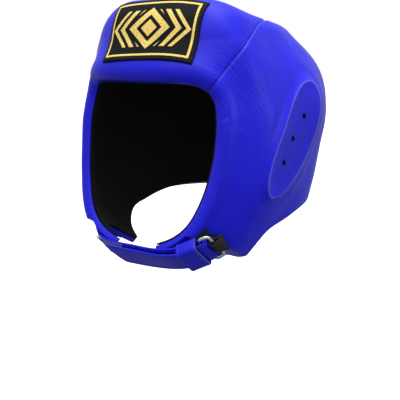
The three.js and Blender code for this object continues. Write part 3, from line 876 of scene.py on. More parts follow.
@dataclass(frozen=True)
class CoatedCowhide:
    """Pigment-coated cowhide, plated smooth: deep even colour, soft sheen, fine pebble."""

    name: str = "coated_cowhide_blue"
    colour: str = "1414D2"
    shade: str = "0C0CB8"
    roughness: float = 0.4
    gloss_spread: tuple[float, float] = (-0.05, 0.06)
    specular: float = 0.24
    # The real pebble is about half this size. It is drawn coarser so that it shows.
    grain: float = 1.1
    grain_depth: float = 0.03
    cloud: float = 45
    cloud_detail: float = 4
    creases: tuple[Creases, ...] = ()
    crease_detail: float = 2
    piping: float = 0.0
    piping_width: float = 2.2
    # Painted highlight along the ear cup's crest: its colour, its strength and the half width of its
    # band
    crest: str = "6A6AEE"
    crest_highlight_share: float = 0.5
    crest_highlight_width: float = 1.3

    def material(self) -> bpy.types.Material:
        """Colour clouds, a painted highlight on the ear cup's crest when piped, roughness variation,
        pebble grain and the creases in turn.

        Returns:
            The finish.
        """
        material, tree, surface = shader(self.name)
        surface.inputs["Specular IOR Level"].default_value = self.specular
        place = add_node(tree, "ShaderNodeTexCoord").outputs["Object"]
        cloud = add_node(
            tree, "ShaderNodeTexNoise",
            {"Vector": place, "Scale": 1 / (self.cloud * MM), "Detail": self.cloud_detail},
        ).outputs[0]
        tone = add_node(
            tree, "ShaderNodeMix",
            {0: cloud, 6: linear(self.shade), 7: linear(self.colour)}, data_type="RGBA",
        ).outputs[2]
        # Painted highlight: the ear cup's crest is coloured paler where the leather is piped.
        colour = self.painted_crest_highlight(tree, tone) if self.piping else tone
        tree.links.new(colour, surface.inputs["Base Color"])
        low, high = (self.roughness + spread for spread in self.gloss_spread)
        gloss = add_node(
            tree, "ShaderNodeMapRange",
            {0: cloud, 1: NOISE_LOW, 2: NOISE_HIGH, 3: low, 4: high},
        )
        tree.links.new(gloss.outputs[0], surface.inputs["Roughness"])
        pebble = add_node(
            tree, "ShaderNodeTexVoronoi", {"Vector": place, "Scale": 1 / (self.grain * MM)},
        ).outputs["Distance"]
        normal = add_node(
            tree, "ShaderNodeBump",
            {"Strength": 1.0, "Distance": self.grain_depth * MM, "Height": pebble},
        ).outputs["Normal"]
        for crease in self.creases:
            normal = self.creased(tree, crease, normal)
        if self.piping:
            normal = self.piped(tree, normal)
        tree.links.new(normal, surface.inputs["Normal"])
        return material

    @staticmethod
    def band_on(tree: bpy.types.NodeTree, line: Field, width: float) -> bpy.types.NodeSocket:
        """A band along a sewn or shaped line, which fades to both sides.

        Args:
            tree: The material's nodes.
            line: Which line's map.
            width: Where the band ends.

        Returns:
            1 on the line and 0 from the width outwards.
        """
        way = add_node(tree, "ShaderNodeUVMap", uv_map=line.value).outputs[0]
        reach = add_node(tree, "ShaderNodeSeparateXYZ", {0: way}).outputs[1]
        apart = add_node(tree, "ShaderNodeMath", {0: reach}, operation="ABSOLUTE").outputs[0]
        band = add_node(
            tree, "ShaderNodeMapRange", {0: apart, 1: 0.0, 2: width, 3: 1.0, 4: 0.0},
            interpolation_type="SMOOTHSTEP",
        )
        return band.outputs[0]

    def painted_crest_highlight(
        self, tree: bpy.types.NodeTree, colour: bpy.types.NodeSocket,
    ) -> bpy.types.NodeSocket:
        """Paints a highlight along the crest of the ear cup's cord: a paler band in the colour.

        Args:
            tree: The material's nodes.
            colour: The colour so far.

        Returns:
            The colour with a painted highlight on the crest.
        """
        crest = self.band_on(tree, Field.EAR, self.crest_highlight_width)
        share = add_node(
            tree, "ShaderNodeMath", {0: crest, 1: self.crest_highlight_share}, operation="MULTIPLY",
        )
        pale = {0: share.outputs[0], 6: colour, 7: linear(self.crest)}
        return add_node(tree, "ShaderNodeMix", pale, data_type="RGBA").outputs[2]

    def piped(
        self, tree: bpy.types.NodeTree, normal: bpy.types.NodeSocket,
    ) -> bpy.types.NodeSocket:
        """Adds the narrow crest of the cord under the leather, on the ear cup's oval.

        Args:
            tree: The material's nodes.
            normal: The relief so far.

        Returns:
            The relief with the crest.
        """
        crest = self.band_on(tree, Field.EAR, self.piping_width)
        relief = add_node(
            tree, "ShaderNodeBump",
            {"Strength": 1.0, "Distance": self.piping * MM, "Height": crest, "Normal": normal},
        )
        return relief.outputs["Normal"]

    def creased(
        self, tree: bpy.types.NodeTree, crease: Creases, normal: bpy.types.NodeSocket,
    ) -> bpy.types.NodeSocket:
        """Adds one field of creases: stretched noise that fades with distance from its line.

        Args:
            tree: The material's nodes.
            crease: Which field, and its sizes.
            normal: The relief so far.

        Returns:
            The relief with these creases.
        """
        way = add_node(tree, "ShaderNodeUVMap", uv_map=crease.field.value).outputs[0]
        along, reach, _ = add_node(tree, "ShaderNodeSeparateXYZ", {0: way}).outputs
        slant = add_node(
            tree, "ShaderNodeMath", {0: reach, 1: crease.skew, 2: along}, operation="MULTIPLY_ADD",
        ).outputs[0]
        cell = [
            add_node(tree, "ShaderNodeMath", {0: value, 1: 1 / size}, operation="MULTIPLY").outputs[0]
            for value, size in ((slant, crease.spacing), (reach, crease.length))
        ]
        place = add_node(tree, "ShaderNodeCombineXYZ", {0: cell[0], 1: cell[1]}).outputs[0]
        rough = add_node(
            tree, "ShaderNodeTexNoise",
            {"Vector": place, "Scale": 1.0, "Detail": self.crease_detail}, noise_dimensions="2D",
        )
        fade = self.band_on(tree, crease.field, crease.fade)
        height = add_node(
            tree, "ShaderNodeMath", {0: rough.outputs[0], 1: fade}, operation="MULTIPLY",
        ).outputs[0]
        relief = add_node(
            tree, "ShaderNodeBump",
            {"Strength": 1.0, "Distance": crease.depth * MM, "Height": height, "Normal": normal},
        )
        return relief.outputs["Normal"]


@dataclass(frozen=True)
class BrushedLining:
    """Brushed polyester lining: matt black, with a close knit that shows only near by."""

    name: str = "brushed_lining_black"
    colour: str = "050605"
    lint: str = "0E0F0D"
    lint_size: float = 18
    lint_detail: float = 6
    roughness: float = 0.88
    specular: float = 0.08
    sheen: float = 0.02
    sheen_roughness: float = 0.5
    # The real knit is about half this size. It is drawn coarser so that it shows.
    knit: float = 1.1
    depth: float = 0.06

    def material(self) -> bpy.types.Material:
        """Lint clouds over black, with a fine knit relief and a soft sheen.

        Returns:
            The finish.
        """
        material, tree, surface = shader(self.name)
        surface.inputs["Roughness"].default_value = self.roughness
        surface.inputs["Specular IOR Level"].default_value = self.specular
        surface.inputs["Sheen Weight"].default_value = self.sheen
        surface.inputs["Sheen Roughness"].default_value = self.sheen_roughness
        place = add_node(tree, "ShaderNodeTexCoord").outputs["Object"]
        lint = add_node(
            tree, "ShaderNodeTexNoise",
            {"Vector": place, "Scale": 1 / (self.lint_size * MM), "Detail": self.lint_detail},
        )
        tone = add_node(
            tree, "ShaderNodeMix",
            {0: lint.outputs[0], 6: linear(self.colour), 7: linear(self.lint)}, data_type="RGBA",
        )
        tree.links.new(tone.outputs[2], surface.inputs["Base Color"])
        knit = add_node(
            tree, "ShaderNodeTexVoronoi", {"Vector": place, "Scale": 1 / (self.knit * MM)},
        )
        relief = add_node(
            tree, "ShaderNodeBump",
            {"Strength": 1.0, "Distance": self.depth * MM, "Height": knit.outputs["Distance"]},
        )
        tree.links.new(relief.outputs["Normal"], surface.inputs["Normal"])
        return material


@dataclass(frozen=True)
class PlainFinish:
    """A finish with one colour, broken by a fine noise in its relief."""

    name: str
    colour: str
    roughness: float
    metallic: float = 0.0
    grit: float = 0.6
    grit_detail: float = 3
    depth: float = 0.02
    sheen: float = 0.0
    spread: float = 0.18
    gloss_spread: tuple[float, float] = (0.85, 1.2)

    def material(self) -> bpy.types.Material:
        """One colour with noise in its tone, roughness and relief.

        Returns:
            The finish.
        """
        material, tree, surface = shader(self.name)
        surface.inputs["Metallic"].default_value = self.metallic
        surface.inputs["Sheen Weight"].default_value = self.sheen
        place = add_node(tree, "ShaderNodeTexCoord").outputs["Object"]
        grit = add_node(
            tree, "ShaderNodeTexNoise",
            {"Vector": place, "Scale": 1 / (self.grit * MM), "Detail": self.grit_detail},
        ).outputs[0]
        base = np.array(linear(self.colour))
        darker, lighter = base * (1 - self.spread), np.minimum(base * (1 + self.spread), 1)
        tone = add_node(
            tree, "ShaderNodeMix",
            {0: grit, 6: (*darker[:3], 1.0), 7: (*lighter[:3], 1.0)}, data_type="RGBA",
        )
        tree.links.new(tone.outputs[2], surface.inputs["Base Color"])
        low, high = (min(self.roughness * spread, 1) for spread in self.gloss_spread)
        gloss = add_node(
            tree, "ShaderNodeMapRange",
            {0: grit, 1: NOISE_LOW, 2: NOISE_HIGH, 3: low, 4: high},
        )
        tree.links.new(gloss.outputs[0], surface.inputs["Roughness"])
        relief = add_node(
            tree, "ShaderNodeBump", {"Strength": 1.0, "Distance": self.depth * MM, "Height": grit},
        )
        tree.links.new(relief.outputs["Normal"], surface.inputs["Normal"])
        return material


@dataclass(frozen=True)
class WovenPatchCloth:
    """Damask-woven polyester patch: black satin ground, gold thread border and motif."""

    name: str = "woven_patch_black_gold"
    map_name: str = "patch_map"
    ground: str = "07090C"
    gold: str = "FFE486"
    gold_shade: str = "A8842E"
    ground_roughness: float = 0.62
    gold_roughness: float = 0.42
    specular: float = 0.12
    # Real threads lie about 0.3 mm apart. They and their flecks are drawn coarser, to show.
    thread: float = 0.9
    thread_share: float = 0.25
    thread_wander: float = 0.6
    fleck: float = 1.1
    fleck_share: float = 0.8
    fleck_low: float = 0.32
    fleck_high: float = 0.62
    depth: float = 0.09
    gold_rise: float = 1.6
    border_at: float = 4.7
    border_width: float = 2.0
    half_width: float = 48.5
    half_height: float = 28.5
    diamond_width: float = 25
    diamond_height: float = 20
    # Shares of the diamond's reach: its core, the middle and half width of its ring
    core_to: float = 0.36
    ring_at: float = 0.74
    ring_half: float = 0.17
    # The wings start outside this share
    wing_from: float = 1.12
    wing_pitch: float = 9.5
    wing_share: float = 0.55
    wing_slope: float = 0.9
    wing_end: float = 42
    wing_height: float = 16

    def gold_at(
        self, tree: bpy.types.NodeTree, across: bpy.types.NodeSocket, up: bpy.types.NodeSocket,
    ) -> bpy.types.NodeSocket:
        """Where the gold threads lie, from distances on the patch's own map in millimetres.

        The border is a band at a distance from the edge. The diamond is a core and a ring
        of |x| / width + |y| / height. The wings are stripes of |x| + slope * |y| outside it.
        Each step is a name, an operation, and terms that are numbers or earlier names.

        Args:
            tree: The material's nodes.
            across: Place across the patch, from its centre.
            up: Place up the patch, from its centre.

        Returns:
            1 on gold and 0 on the ground.
        """
        steps = (
            ("x", "ABSOLUTE", "across"),
            ("y", "ABSOLUTE", "up"),
            ("inset_x", "SUBTRACT", self.half_width, "x"),
            ("inset_y", "SUBTRACT", self.half_height, "y"),
            ("inset", "MINIMUM", "inset_x", "inset_y"),
            ("border", "COMPARE", "inset", self.border_at, self.border_width / 2),
            ("by_width", "DIVIDE", "x", self.diamond_width),
            ("by_height", "DIVIDE", "y", self.diamond_height),
            ("diamond", "ADD", "by_width", "by_height"),
            ("core", "LESS_THAN", "diamond", self.core_to),
            ("ring", "COMPARE", "diamond", self.ring_at, self.ring_half),
            ("slant", "MULTIPLY_ADD", "y", self.wing_slope, "x"),
            ("phase", "MODULO", "slant", self.wing_pitch),
            ("stripe", "LESS_THAN", "phase", self.wing_pitch * self.wing_share),
            ("beyond", "GREATER_THAN", "diamond", self.wing_from),
            ("within", "LESS_THAN", "slant", self.wing_end),
            ("low", "LESS_THAN", "y", self.wing_height),
            ("outer", "MULTIPLY", "stripe", "beyond"),
            ("inner", "MULTIPLY", "within", "low"),
            ("wings", "MULTIPLY", "outer", "inner"),
            ("middle", "MAXIMUM", "core", "ring"),
            ("motif", "MAXIMUM", "middle", "wings"),
            ("gold", "MAXIMUM", "border", "motif"),
        )
        values = {"across": across, "up": up}
        for name, operation, *terms in steps:
            inputs = {number: values.get(term, term) for number, term in enumerate(terms)}
            node = add_node(tree, "ShaderNodeMath", inputs, operation=operation)
            values[name] = node.outputs[0]
        return values["gold"]

    def material(self) -> bpy.types.Material:
        """Satin ground and raised, flecked gold threads.

        Returns:
            The finish.
        """
        material, tree, surface = shader(self.name)
        surface.inputs["Specular IOR Level"].default_value = self.specular
        way = add_node(tree, "ShaderNodeUVMap", uv_map=self.map_name).outputs[0]
        across, up, _ = add_node(tree, "ShaderNodeSeparateXYZ", {0: way}).outputs
        gold = self.gold_at(tree, across, up)
        # A wave node of scale s repeats every pi / (10 s).
        weft = add_node(
            tree, "ShaderNodeTexWave",
            {"Vector": way, "Scale": np.pi / (10 * self.thread), "Distortion": self.thread_wander,
             "Detail": 2.0, "Detail Scale": 4.0},
            wave_type="BANDS", bands_direction="DIAGONAL",
        ).outputs[1]
        fleck = add_node(
            tree, "ShaderNodeTexNoise", {"Vector": way, "Scale": 1 / self.fleck, "Detail": 2.0},
        )
        glint = add_node(
            tree, "ShaderNodeMapRange",
            {0: fleck.outputs[0], 1: self.fleck_low, 2: self.fleck_high, 4: self.fleck_share},
        )
        shade = add_node(
            tree, "ShaderNodeMath",
            {0: weft, 1: self.thread_share, 2: glint.outputs[0]}, operation="MULTIPLY_ADD",
        )
        metal = add_node(
            tree, "ShaderNodeMix",
            {0: shade.outputs[0], 6: linear(self.gold_shade), 7: linear(self.gold)},
            data_type="RGBA",
        )
        tone = add_node(
            tree, "ShaderNodeMix",
            {0: gold, 6: linear(self.ground), 7: metal.outputs[2]}, data_type="RGBA",
        )
        tree.links.new(tone.outputs[2], surface.inputs["Base Color"])
        gloss = add_node(
            tree, "ShaderNodeMapRange",
            {0: gold, 3: self.ground_roughness, 4: self.gold_roughness},
        )
        tree.links.new(gloss.outputs[0], surface.inputs["Roughness"])
        height = add_node(
            tree, "ShaderNodeMath",
            {0: gold, 1: self.gold_rise, 2: weft}, operation="MULTIPLY_ADD",
        )
        relief = add_node(
            tree, "ShaderNodeBump",
            {"Strength": 1.0, "Distance": self.depth * MM, "Height": height.outputs[0]},
        )
        tree.links.new(relief.outputs["Normal"], surface.inputs["Normal"])
        return material


class Finishes:
    """Every finish of the headgear."""

    def __init__(self) -> None:
        """Makes the materials."""
        # Leather gathers at the seam, drapes far down the side and puckers at the rim.
        gathers = Creases(Field.SEAM, spacing=1.7, length=10, fade=24, depth=0.34, skew=0.2)
        drapes = Creases(Field.SEAM, spacing=2.0, length=12, fade=95, depth=0.42, skew=0.35)
        puckers = Creases(Field.RIM, spacing=2.6, length=12, fade=16, depth=0.35, skew=0.8)
        # The piping also brings the painted highlight on the ear cup's crest.
        self.side_hide = CoatedCowhide(creases=(gathers, drapes, puckers), piping=0.55).material()
        self.brow_hide = CoatedCowhide(
            name="coated_cowhide_blue_brow", creases=(gathers, puckers),
        ).material()
        self.strap = CoatedCowhide(
            name="coated_strap_leather_blue", shade="0A0AA4", grain_depth=0.04,
        ).material()
        self.lining = BrushedLining().material()
        self.patch = WovenPatchCloth().material()
        # Cut leather and tape show their pale, dry fibres.
        self.raw_edge = PlainFinish("raw_tape_edge_lilac", "5E5A8C", 0.85).material()
        # The hooks and loops of nylon tape read as a rough matt black.
        self.tape = PlainFinish(
            "hook_and_loop_tape_black", "0C0C0E", 0.95, grit=0.9, depth=0.35, sheen=0.3,
        ).material()
        # Bonded nylon thread has a slight gloss.
        self.thread = PlainFinish("bonded_nylon_thread_blue", "2A2AD0", 0.5, grit=0.4).material()
        self.dark_thread = PlainFinish(
            "bonded_nylon_thread_black", "17181A", 0.55, grit=0.4,
        ).material()
        # Drawn wire, nickel plated: bright, with faint waves.
        self.wire = PlainFinish(
            "nickel_plated_wire", "D4D6D8", 0.16, metallic=1.0, grit=1.6, depth=0.008,
        ).material()
        # Woven nylon strapping is matt, with a coarse rib. The same black also paints the shadow on the
        # sheet behind the ring.
        self.webbing = PlainFinish(
            "nylon_webbing_and_painted_shadow_black", "08080A", 0.8, grit=0.9, depth=0.2,
        ).material()
        # Cut foam is open and takes the light in.
        self.foam = PlainFinish("cut_foam_black", "050507", 0.95, grit=0.8, depth=0.1).material()


# Pieces

# Turns azimuth and row to the other side of the face
OTHER_SIDE = np.array([-1.0, 1.0])


@dataclass
class Shell:
    """The three padded panels and the lining behind them."""

    padding: Padding
    finishes: Finishes
    gap: float = 0.15
    seam_share: float = 0.56
    side_columns: tuple[int, int] = (170, 90)
    side_rows: int = 170
    crowding: float = 0.65
    brow_columns: int = 220
    brow_rows: int = 120
    brow_crowding: float = 0.7
    fill: float = 0.8
    lining_clearance: float = 0.8
    lining_thickness: float = 1.6
    lining_lap: float = 0.6
    lining_fineness: float = 0.5
    swell_noise: float = 0.7
    swell_size: float = 38
    swell_seed: int = 3
    ripple_noise: float = 0.35
    ripple_size: float = 11
    ripple_seed: int = 5
    even_below: float = 6
    uneven_above: float = 16

    def __post_init__(self) -> None:
        """Keeps the edges at hand."""
        self.lines = self.padding.outline
        self.head = self.lines.head

    def shifted(self, edge: Edge, distance: float, fraction: Array) -> Array:
        """Places on an edge that is moved round the head, to leave room for a seam.

        Args:
            edge: The edge.
            distance: How far it is moved.
            fraction: Places along it, as shares of its length.

        Returns:
            Azimuth and row of each place.
        """
        node = edge.at(fraction)
        reach = np.linalg.norm(self.head.point(node[..., 0], node[..., 1])[..., :2], axis=-1)
        return node + np.stack([distance / reach, np.zeros_like(reach)], axis=-1)

    @staticmethod
    def both_sides(edge: Edge, u: Array) -> Array:
        """An edge that starts at the face's middle, run from the wearer's right to left."""
        return edge.at(np.abs(2 * u - 1)) * np.where((u < 0.5)[:, None], OTHER_SIDE, 1.0)

    @staticmethod
    def coons(bottom: Line, top: Line, left: Line, right: Line, us: Array, vs: Array) -> Array:
        """Coons patch: ruled both ways, less the patch of its four corners.

        Args:
            bottom: Lower edge, along u.
            top: Upper edge, along u.
            left: Edge at u = 0, along v.
            right: Edge at u = 1, along v.
            us: Parameters along the rows.
            vs: Parameters up the columns.

        Returns:
            Azimuth and row of a grid, rows by columns by 2.
        """
        u, v = us[None, :, None], vs[:, None, None]
        ruled = mix(bottom(us)[None], top(us)[None], v) + mix(left(vs)[:, None], right(vs)[:, None], u)
        ends = np.array([0.0, 1.0])
        low, high = bottom(ends), top(ends)
        return ruled - mix(mix(low[0], low[1], u), mix(high[0], high[1], u), v)

    def side_nodes(self, gap: float, fine: float = 1.0) -> Array:
        """Grid of the left side panel, from the lower edge up to seam and crown.

        Args:
            gap: Room left at the seam and at the centre back.
            fine: Share of the full number of rows and columns.

        Returns:
            Azimuth and row of the grid.
        """
        seam = partial(self.shifted, self.lines.seam, gap)
        rear = partial(self.shifted, self.lines.back, -gap)
        share = self.seam_share

        def top(u: Array) -> Array:
            """Seam first, then the rear of the crown."""
            on_seam, on_crown = seam(u / share), self.lines.crown_rear.at((u - share) / (1 - share))
            return np.where((u <= share)[:, None], on_seam, on_crown)

        def front(v: Array) -> Array:
            """The rim of the face, from the jaw up."""
            return self.lines.cheek.at(1 - v)

        counts = [int(n * fine) for n in self.side_columns]
        on_seam, on_crown = (clustered(count, self.crowding) for count in counts)
        us = np.concatenate([on_seam * share, share + on_crown[1:] * (1 - share)])
        vs = clustered(int(self.side_rows * fine), self.crowding)
        return self.coons(self.lines.lower.at, top, front, rear, us, vs)

    def brow_nodes(self, gap: float, fine: float = 1.0) -> Array:
        """Grid of the forehead panel, from the brow up to the crown.

        Args:
            gap: Room left at the seams.
            fine: Share of the full number of rows and columns.

        Returns:
            Azimuth and row of the grid.
        """
        brow = partial(self.both_sides, self.lines.brow)
        crown = partial(self.both_sides, self.lines.crown_front)
        left_seam = partial(self.shifted, self.lines.seam, -gap)

        def right_seam(v: Array) -> Array:
            """The seam on the wearer's right."""
            return left_seam(v) * OTHER_SIDE

        us = clustered(int(self.brow_columns * fine), self.brow_crowding)
        vs = clustered(int(self.brow_rows * fine))
        return self.coons(brow, crown, right_seam, left_seam, us, vs)

    def crease_maps(self, point: Array) -> dict[str, Array]:
        """Surface maps for the creases: place along and distance from seam, ear and rim.

        Args:
            point: Places on the head.

        Returns:
            Two numbers for each place, under each map's name.
        """
        mirrored = np.concatenate([np.abs(point[..., :1]), point[..., 1:]], axis=-1)
        seam, seam_along = self.lines.seam.nearest(mirrored)
        brow, brow_along = self.lines.brow.nearest(mirrored)
        cheek, cheek_along = self.lines.cheek.nearest(mirrored)
        rim_along = np.where(brow < cheek, brow_along, cheek_along + self.lines.brow.lengths[-1])
        ear = self.padding.ear
        reach, angle = ear.polar(mirrored)
        size = (ear.half_width + ear.half_length) / 2
        pairs = {
            Field.SEAM: (seam_along, seam),
            Field.EAR: (angle * size, reach),
            Field.RIM: (rim_along, np.minimum(brow, cheek)),
        }
        return {key.value: np.stack(pair, axis=-1).reshape(-1, 2) for key, pair in pairs.items()}

    def unevenness(self, point: Array, thickness: Array) -> Array:
        """Hand-stuffed unevenness: broad swells and smaller ripples, none on thin edges.

        Args:
            point: Places on the head.
            thickness: Thickness of the pad there.

        Returns:
            What it adds to the thickness.
        """
        swell = value_noise(point / self.swell_size, self.swell_seed) - 0.5
        ripple = value_noise(point / self.ripple_size, self.ripple_seed) - 0.5
        share = smooth(self.even_below, self.uneven_above, thickness)
        return (self.swell_noise * swell + self.ripple_noise * ripple) * share

    def pad(
        self, name: str, nodes: Array, hide: bpy.types.Material, mirror: bool = False,
    ) -> bpy.types.Object:
        """A padded panel: leather over foam from the lining out to its thickness.

        Args:
            name: The node that it stands for.
            nodes: Azimuth and row of its grid.
            hide: Its leather.
            mirror: True to make it for the wearer's right.

        Returns:
            The panel.
        """
        azimuth, row = nodes[..., 0] * (-1 if mirror else 1), nodes[..., 1]
        thickness = self.padding.thickness(azimuth, row)
        inner = self.head.point(azimuth, row)
        height = thickness + self.unevenness(inner, thickness)
        vertices, quads = wall(self.head.offset(azimuth, row, height), inner)
        maps = {key: np.concatenate([flat, flat]) for key, flat in self.crease_maps(inner).items()}
        piece = Piece(
            name + "_leather", vertices, quads, [hide], "leather_blue",
            maps=maps, replaces=(name,),
        ).build()
        return piece

    def skin(self, name: str, nodes: Array, replaces: tuple[str, ...] = ()) -> bpy.types.Object:
        """One panel of the lining, a thin sheet just inside the head hollow.

        Args:
            name: Name of the piece.
            nodes: Azimuth and row of its grid.
            replaces: The node that it stands for, on the first panel.

        Returns:
            The panel.
        """
        azimuth, row = nodes[..., 0], nodes[..., 1]
        high = np.full(azimuth.shape, -self.lining_clearance)
        vertices, quads = wall(
            self.head.offset(azimuth, row, high),
            self.head.offset(azimuth, row, high - self.lining_thickness),
        )
        return Piece(
            name, vertices, quads, [self.finishes.lining], "lining_black", replaces=replaces,
        ).build()

    def build(self) -> None:
        """Builds the panels and the lining, and punches the vents through them."""
        side = self.side_nodes(self.gap)
        left = self.pad("left_side_pad", side, self.finishes.side_hide)
        right = self.pad("right_side_pad", side, self.finishes.side_hide, mirror=True)
        self.pad("forehead_pad", self.brow_nodes(self.gap), self.finishes.brow_hide)
        lap, fine = -self.lining_lap / 2, self.lining_fineness
        inside = self.side_nodes(lap, fine)
        self.skin("lining_cloth_brow", self.brow_nodes(lap, fine), ("lining",))
        left_skin = self.skin("lining_cloth_left", inside)
        right_skin = self.skin("lining_cloth_right", inside[:, ::-1] * OTHER_SIDE)
        for mirror, pieces in ((False, (left, left_skin)), (True, (right, right_skin))):
            stars, faces = self.padding.ear.star_prisms(mirror)
            for piece in pieces:
                punch(piece, stars, faces, self.finishes.foam)


@dataclass
class FrontPatch:
    """The woven patch, a rectangle laid straight onto the leaning forehead."""

    padding: Padding
    finishes: Finishes
    width: float = 97
    height: float = 57
    lean: float = 37
    turn: float = 2.5
    x: float = 7.5
    y: float = -76.5
    z: float = -10.3
    clearance: float = 0.8
    thickness: float = 1.4
    columns: int = 121
    rows: int = 63
    crowding: float = 0.6
    edge: float = 0.35
    edge_radius: float = 1.6
    sewn: float = 0.35
    sewn_width: float = 0.8
    stitch: Thread = Thread(length=2.2, pitch=2.9, radius=0.32)
    stitch_inset: float = 2.2
    stitch_sink: float = 0.3
    stitch_samples: int = 321
    # Where the search starts: the row at the patch's centre, and its fall to the top edge
    first_row: float = 1.8
    first_fall: float = 0.6
    search_steps: int = 10
    slope_step: float = 1e-3

    def nodes(self, across: Array, along: Array) -> Array:
        """Azimuth and row whose outside point has an x and a height up the lean, by Newton steps.

        Args:
            across: Place across the patch's turned rectangle, from its centre.
            along: Place up the rectangle, from its centre.

        Returns:
            Azimuth and row of each place.
        """
        lean, turn = np.radians(self.lean), np.radians(self.turn)
        up = np.array([0.0, np.sin(lean), np.cos(lean)])
        centre = np.array([0.0, self.y, self.z])
        x = self.x + across * np.cos(turn) - along * np.sin(turn)
        height = across * np.sin(turn) + along * np.cos(turn)
        step = self.slope_step

        def miss(azimuth: Array, row: Array) -> Array:
            """How far the outside point is from its goal, both ways."""
            point = self.padding.surface(azimuth, row)
            return np.stack([point[..., 0] - x, (point - centre) @ up - height], axis=-1)

        azimuth, row = x / -self.y, self.first_row - self.first_fall * height / (self.height / 2)
        for _ in range(self.search_steps):
            now = miss(azimuth, row)
            by_azimuth = (miss(azimuth + step, row) - now) / step
            by_row = (miss(azimuth, row + step) - now) / step
            det = by_azimuth[..., 0] * by_row[..., 1] - by_row[..., 0] * by_azimuth[..., 1]
            azimuth = azimuth - (now[..., 0] * by_row[..., 1] - now[..., 1] * by_row[..., 0]) / det
            row = row - (now[..., 1] * by_azimuth[..., 0] - now[..., 0] * by_azimuth[..., 1]) / det
        return np.stack([azimuth, row], axis=-1)

    def build(self) -> None:
        """The patch with rounded, folded edges, and the stitches that hold it."""
        u, v = clustered(self.columns, self.crowding) - 0.5, clustered(self.rows, self.crowding) - 0.5
        across, up = np.meshgrid(u * self.width, v * self.height)
        node = self.nodes(across, up)
        azimuth, row = node[..., 0], node[..., 1]
        inset = np.minimum(self.width / 2 - np.abs(across), self.height / 2 - np.abs(up))
        full = np.full(inset.shape, self.thickness)
        fold = Padding.rounded(inset, self.edge, full, self.edge_radius)
        sewn = self.sewn * bump(inset - self.stitch_inset, self.sewn_width)
        vertices, quads = wall(
            self.padding.surface(azimuth, row, self.clearance + fold - sewn),
            self.padding.surface(azimuth, row, self.clearance),
        )
        flat = np.stack([across, up], axis=-1).reshape(-1, 2)
        patch = Piece(
            "front_patch_cloth", vertices, quads, [self.finishes.patch], "woven_patch",
            maps={WovenPatchCloth.map_name: np.concatenate([flat, flat])}, replaces=("front_patch",),
        ).build()
        self.sew()

    def sew(self) -> None:
        """A row of stitches round the patch, just inside its folded edge."""
        half = np.array([self.width, self.height]) / 2 - self.stitch_inset
        corners = np.array([[-1, -1], [1, -1], [1, 1], [-1, 1], [-1, -1]]) * half
        line = read_table(np.arange(5), corners, np.linspace(0, 4, self.stitch_samples))
        node = self.nodes(line[:, 0], line[:, 1])
        lift = self.clearance + self.thickness - self.stitch_sink
        path = self.padding.surface(node[:, 0], node[:, 1], lift)
        out = self.padding.outward(node[:, 0], node[:, 1])
        Piece(
            "front_patch_stitches", *self.stitch.row(path, out),
            [self.finishes.dark_thread], "woven_patch",
        ).build()


@dataclass
class BackStrap:
    """A plain leather band over the meeting edges of the side panels."""

    padding: Padding
    finishes: Finishes
    azimuth: float = 148
    top: float = -92
    bottom: float = -134
    clearance: float = 0.8
    thickness: float = 2.2
    columns: int = 120
    rows: int = 40
    edge: float = 0.6
    edge_radius: float = 1.6
    sewn: float = 0.3
    sewn_width: float = 0.9
    stitch: Thread = Thread()
    stitch_inset: float = 4
    stitch_sink: float = 0.25
    stitch_samples: int = 80
    # Length that the stitches' inset from the ends is a share of, and each end's sewn box
    sewn_length: float = 140
    box_share: float = 0.2

    def surface(self, azimuth: Array, row: Array, lift: Array) -> Array:
        """Point over the full padding, which the band spans without dipping at the middle.

        Args:
            azimuth: Angle round from the face.
            row: Place in the head sections.
            lift: Height over the padding.

        Returns:
            The points.
        """
        head = self.padding.outline.head
        full = self.padding.full(azimuth, head.point(azimuth, row)[..., 2])
        return head.offset(azimuth, row, full + lift)

    def build(self) -> None:
        """The band with rounded edges, and a sewn box at each end."""
        rows = self.padding.outline.head.row_at(np.array([self.bottom, self.top]))
        span = np.radians([self.azimuth, 360 - self.azimuth])
        u, v = clustered(self.columns), clustered(self.rows)
        azimuth, row = np.meshgrid(mix(*span, u), mix(*rows, v))
        middle = self.surface(azimuth, row, np.zeros(azimuth.shape))
        borders = (middle[:, :1], middle[:, -1:], middle[:1], middle[-1:])
        inset = np.min([np.linalg.norm(middle - border, axis=-1) for border in borders], axis=0)
        full = np.full(inset.shape, self.thickness)
        top = Padding.rounded(inset, self.edge, full, self.edge_radius)
        top = top - self.sewn * bump(inset - self.stitch_inset, self.sewn_width)
        vertices, quads = wall(
            self.surface(azimuth, row, self.clearance + top),
            self.surface(azimuth, row, np.full(azimuth.shape, self.clearance)),
        )
        Piece(
            "back_strap_leather", vertices, quads, [self.finishes.strap], "strap_leather",
            replaces=("back_strap",),
        ).build()
        self.sew(span, rows)

    def sew(self, span: Array, rows: Array) -> None:
        """Stitches along the long edges and a closed box at each end.

        Args:
            span: Azimuths of the two ends.
            rows: Rows of the lower and upper edge.
        """
        rise = self.stitch_inset / (self.top - self.bottom)
        turn = self.stitch_inset / self.sewn_length
        box = self.box_share
        lines = [((turn, v), (1 - turn, v)) for v in (rise, 1 - rise)]
        lines += [((u, rise), (u, 1 - rise)) for u in (turn, box, 1 - turn, 1 - box)]
        t = np.linspace(0, 1, self.stitch_samples)
        lift = np.full(t.shape, self.clearance + self.thickness - self.stitch_sink)
        parts = []
        for (u0, v0), (u1, v1) in lines:
            azimuth, row = mix(*span, mix(u0, u1, t)), mix(*rows, mix(v0, v1, t))
            out = self.padding.outline.head.normal(azimuth, row)
            parts.append(self.stitch.row(self.surface(azimuth, row, lift), out))
        Piece(
            "back_strap_stitches", *joined(parts), [self.finishes.thread], "strap_leather",
        ).build()


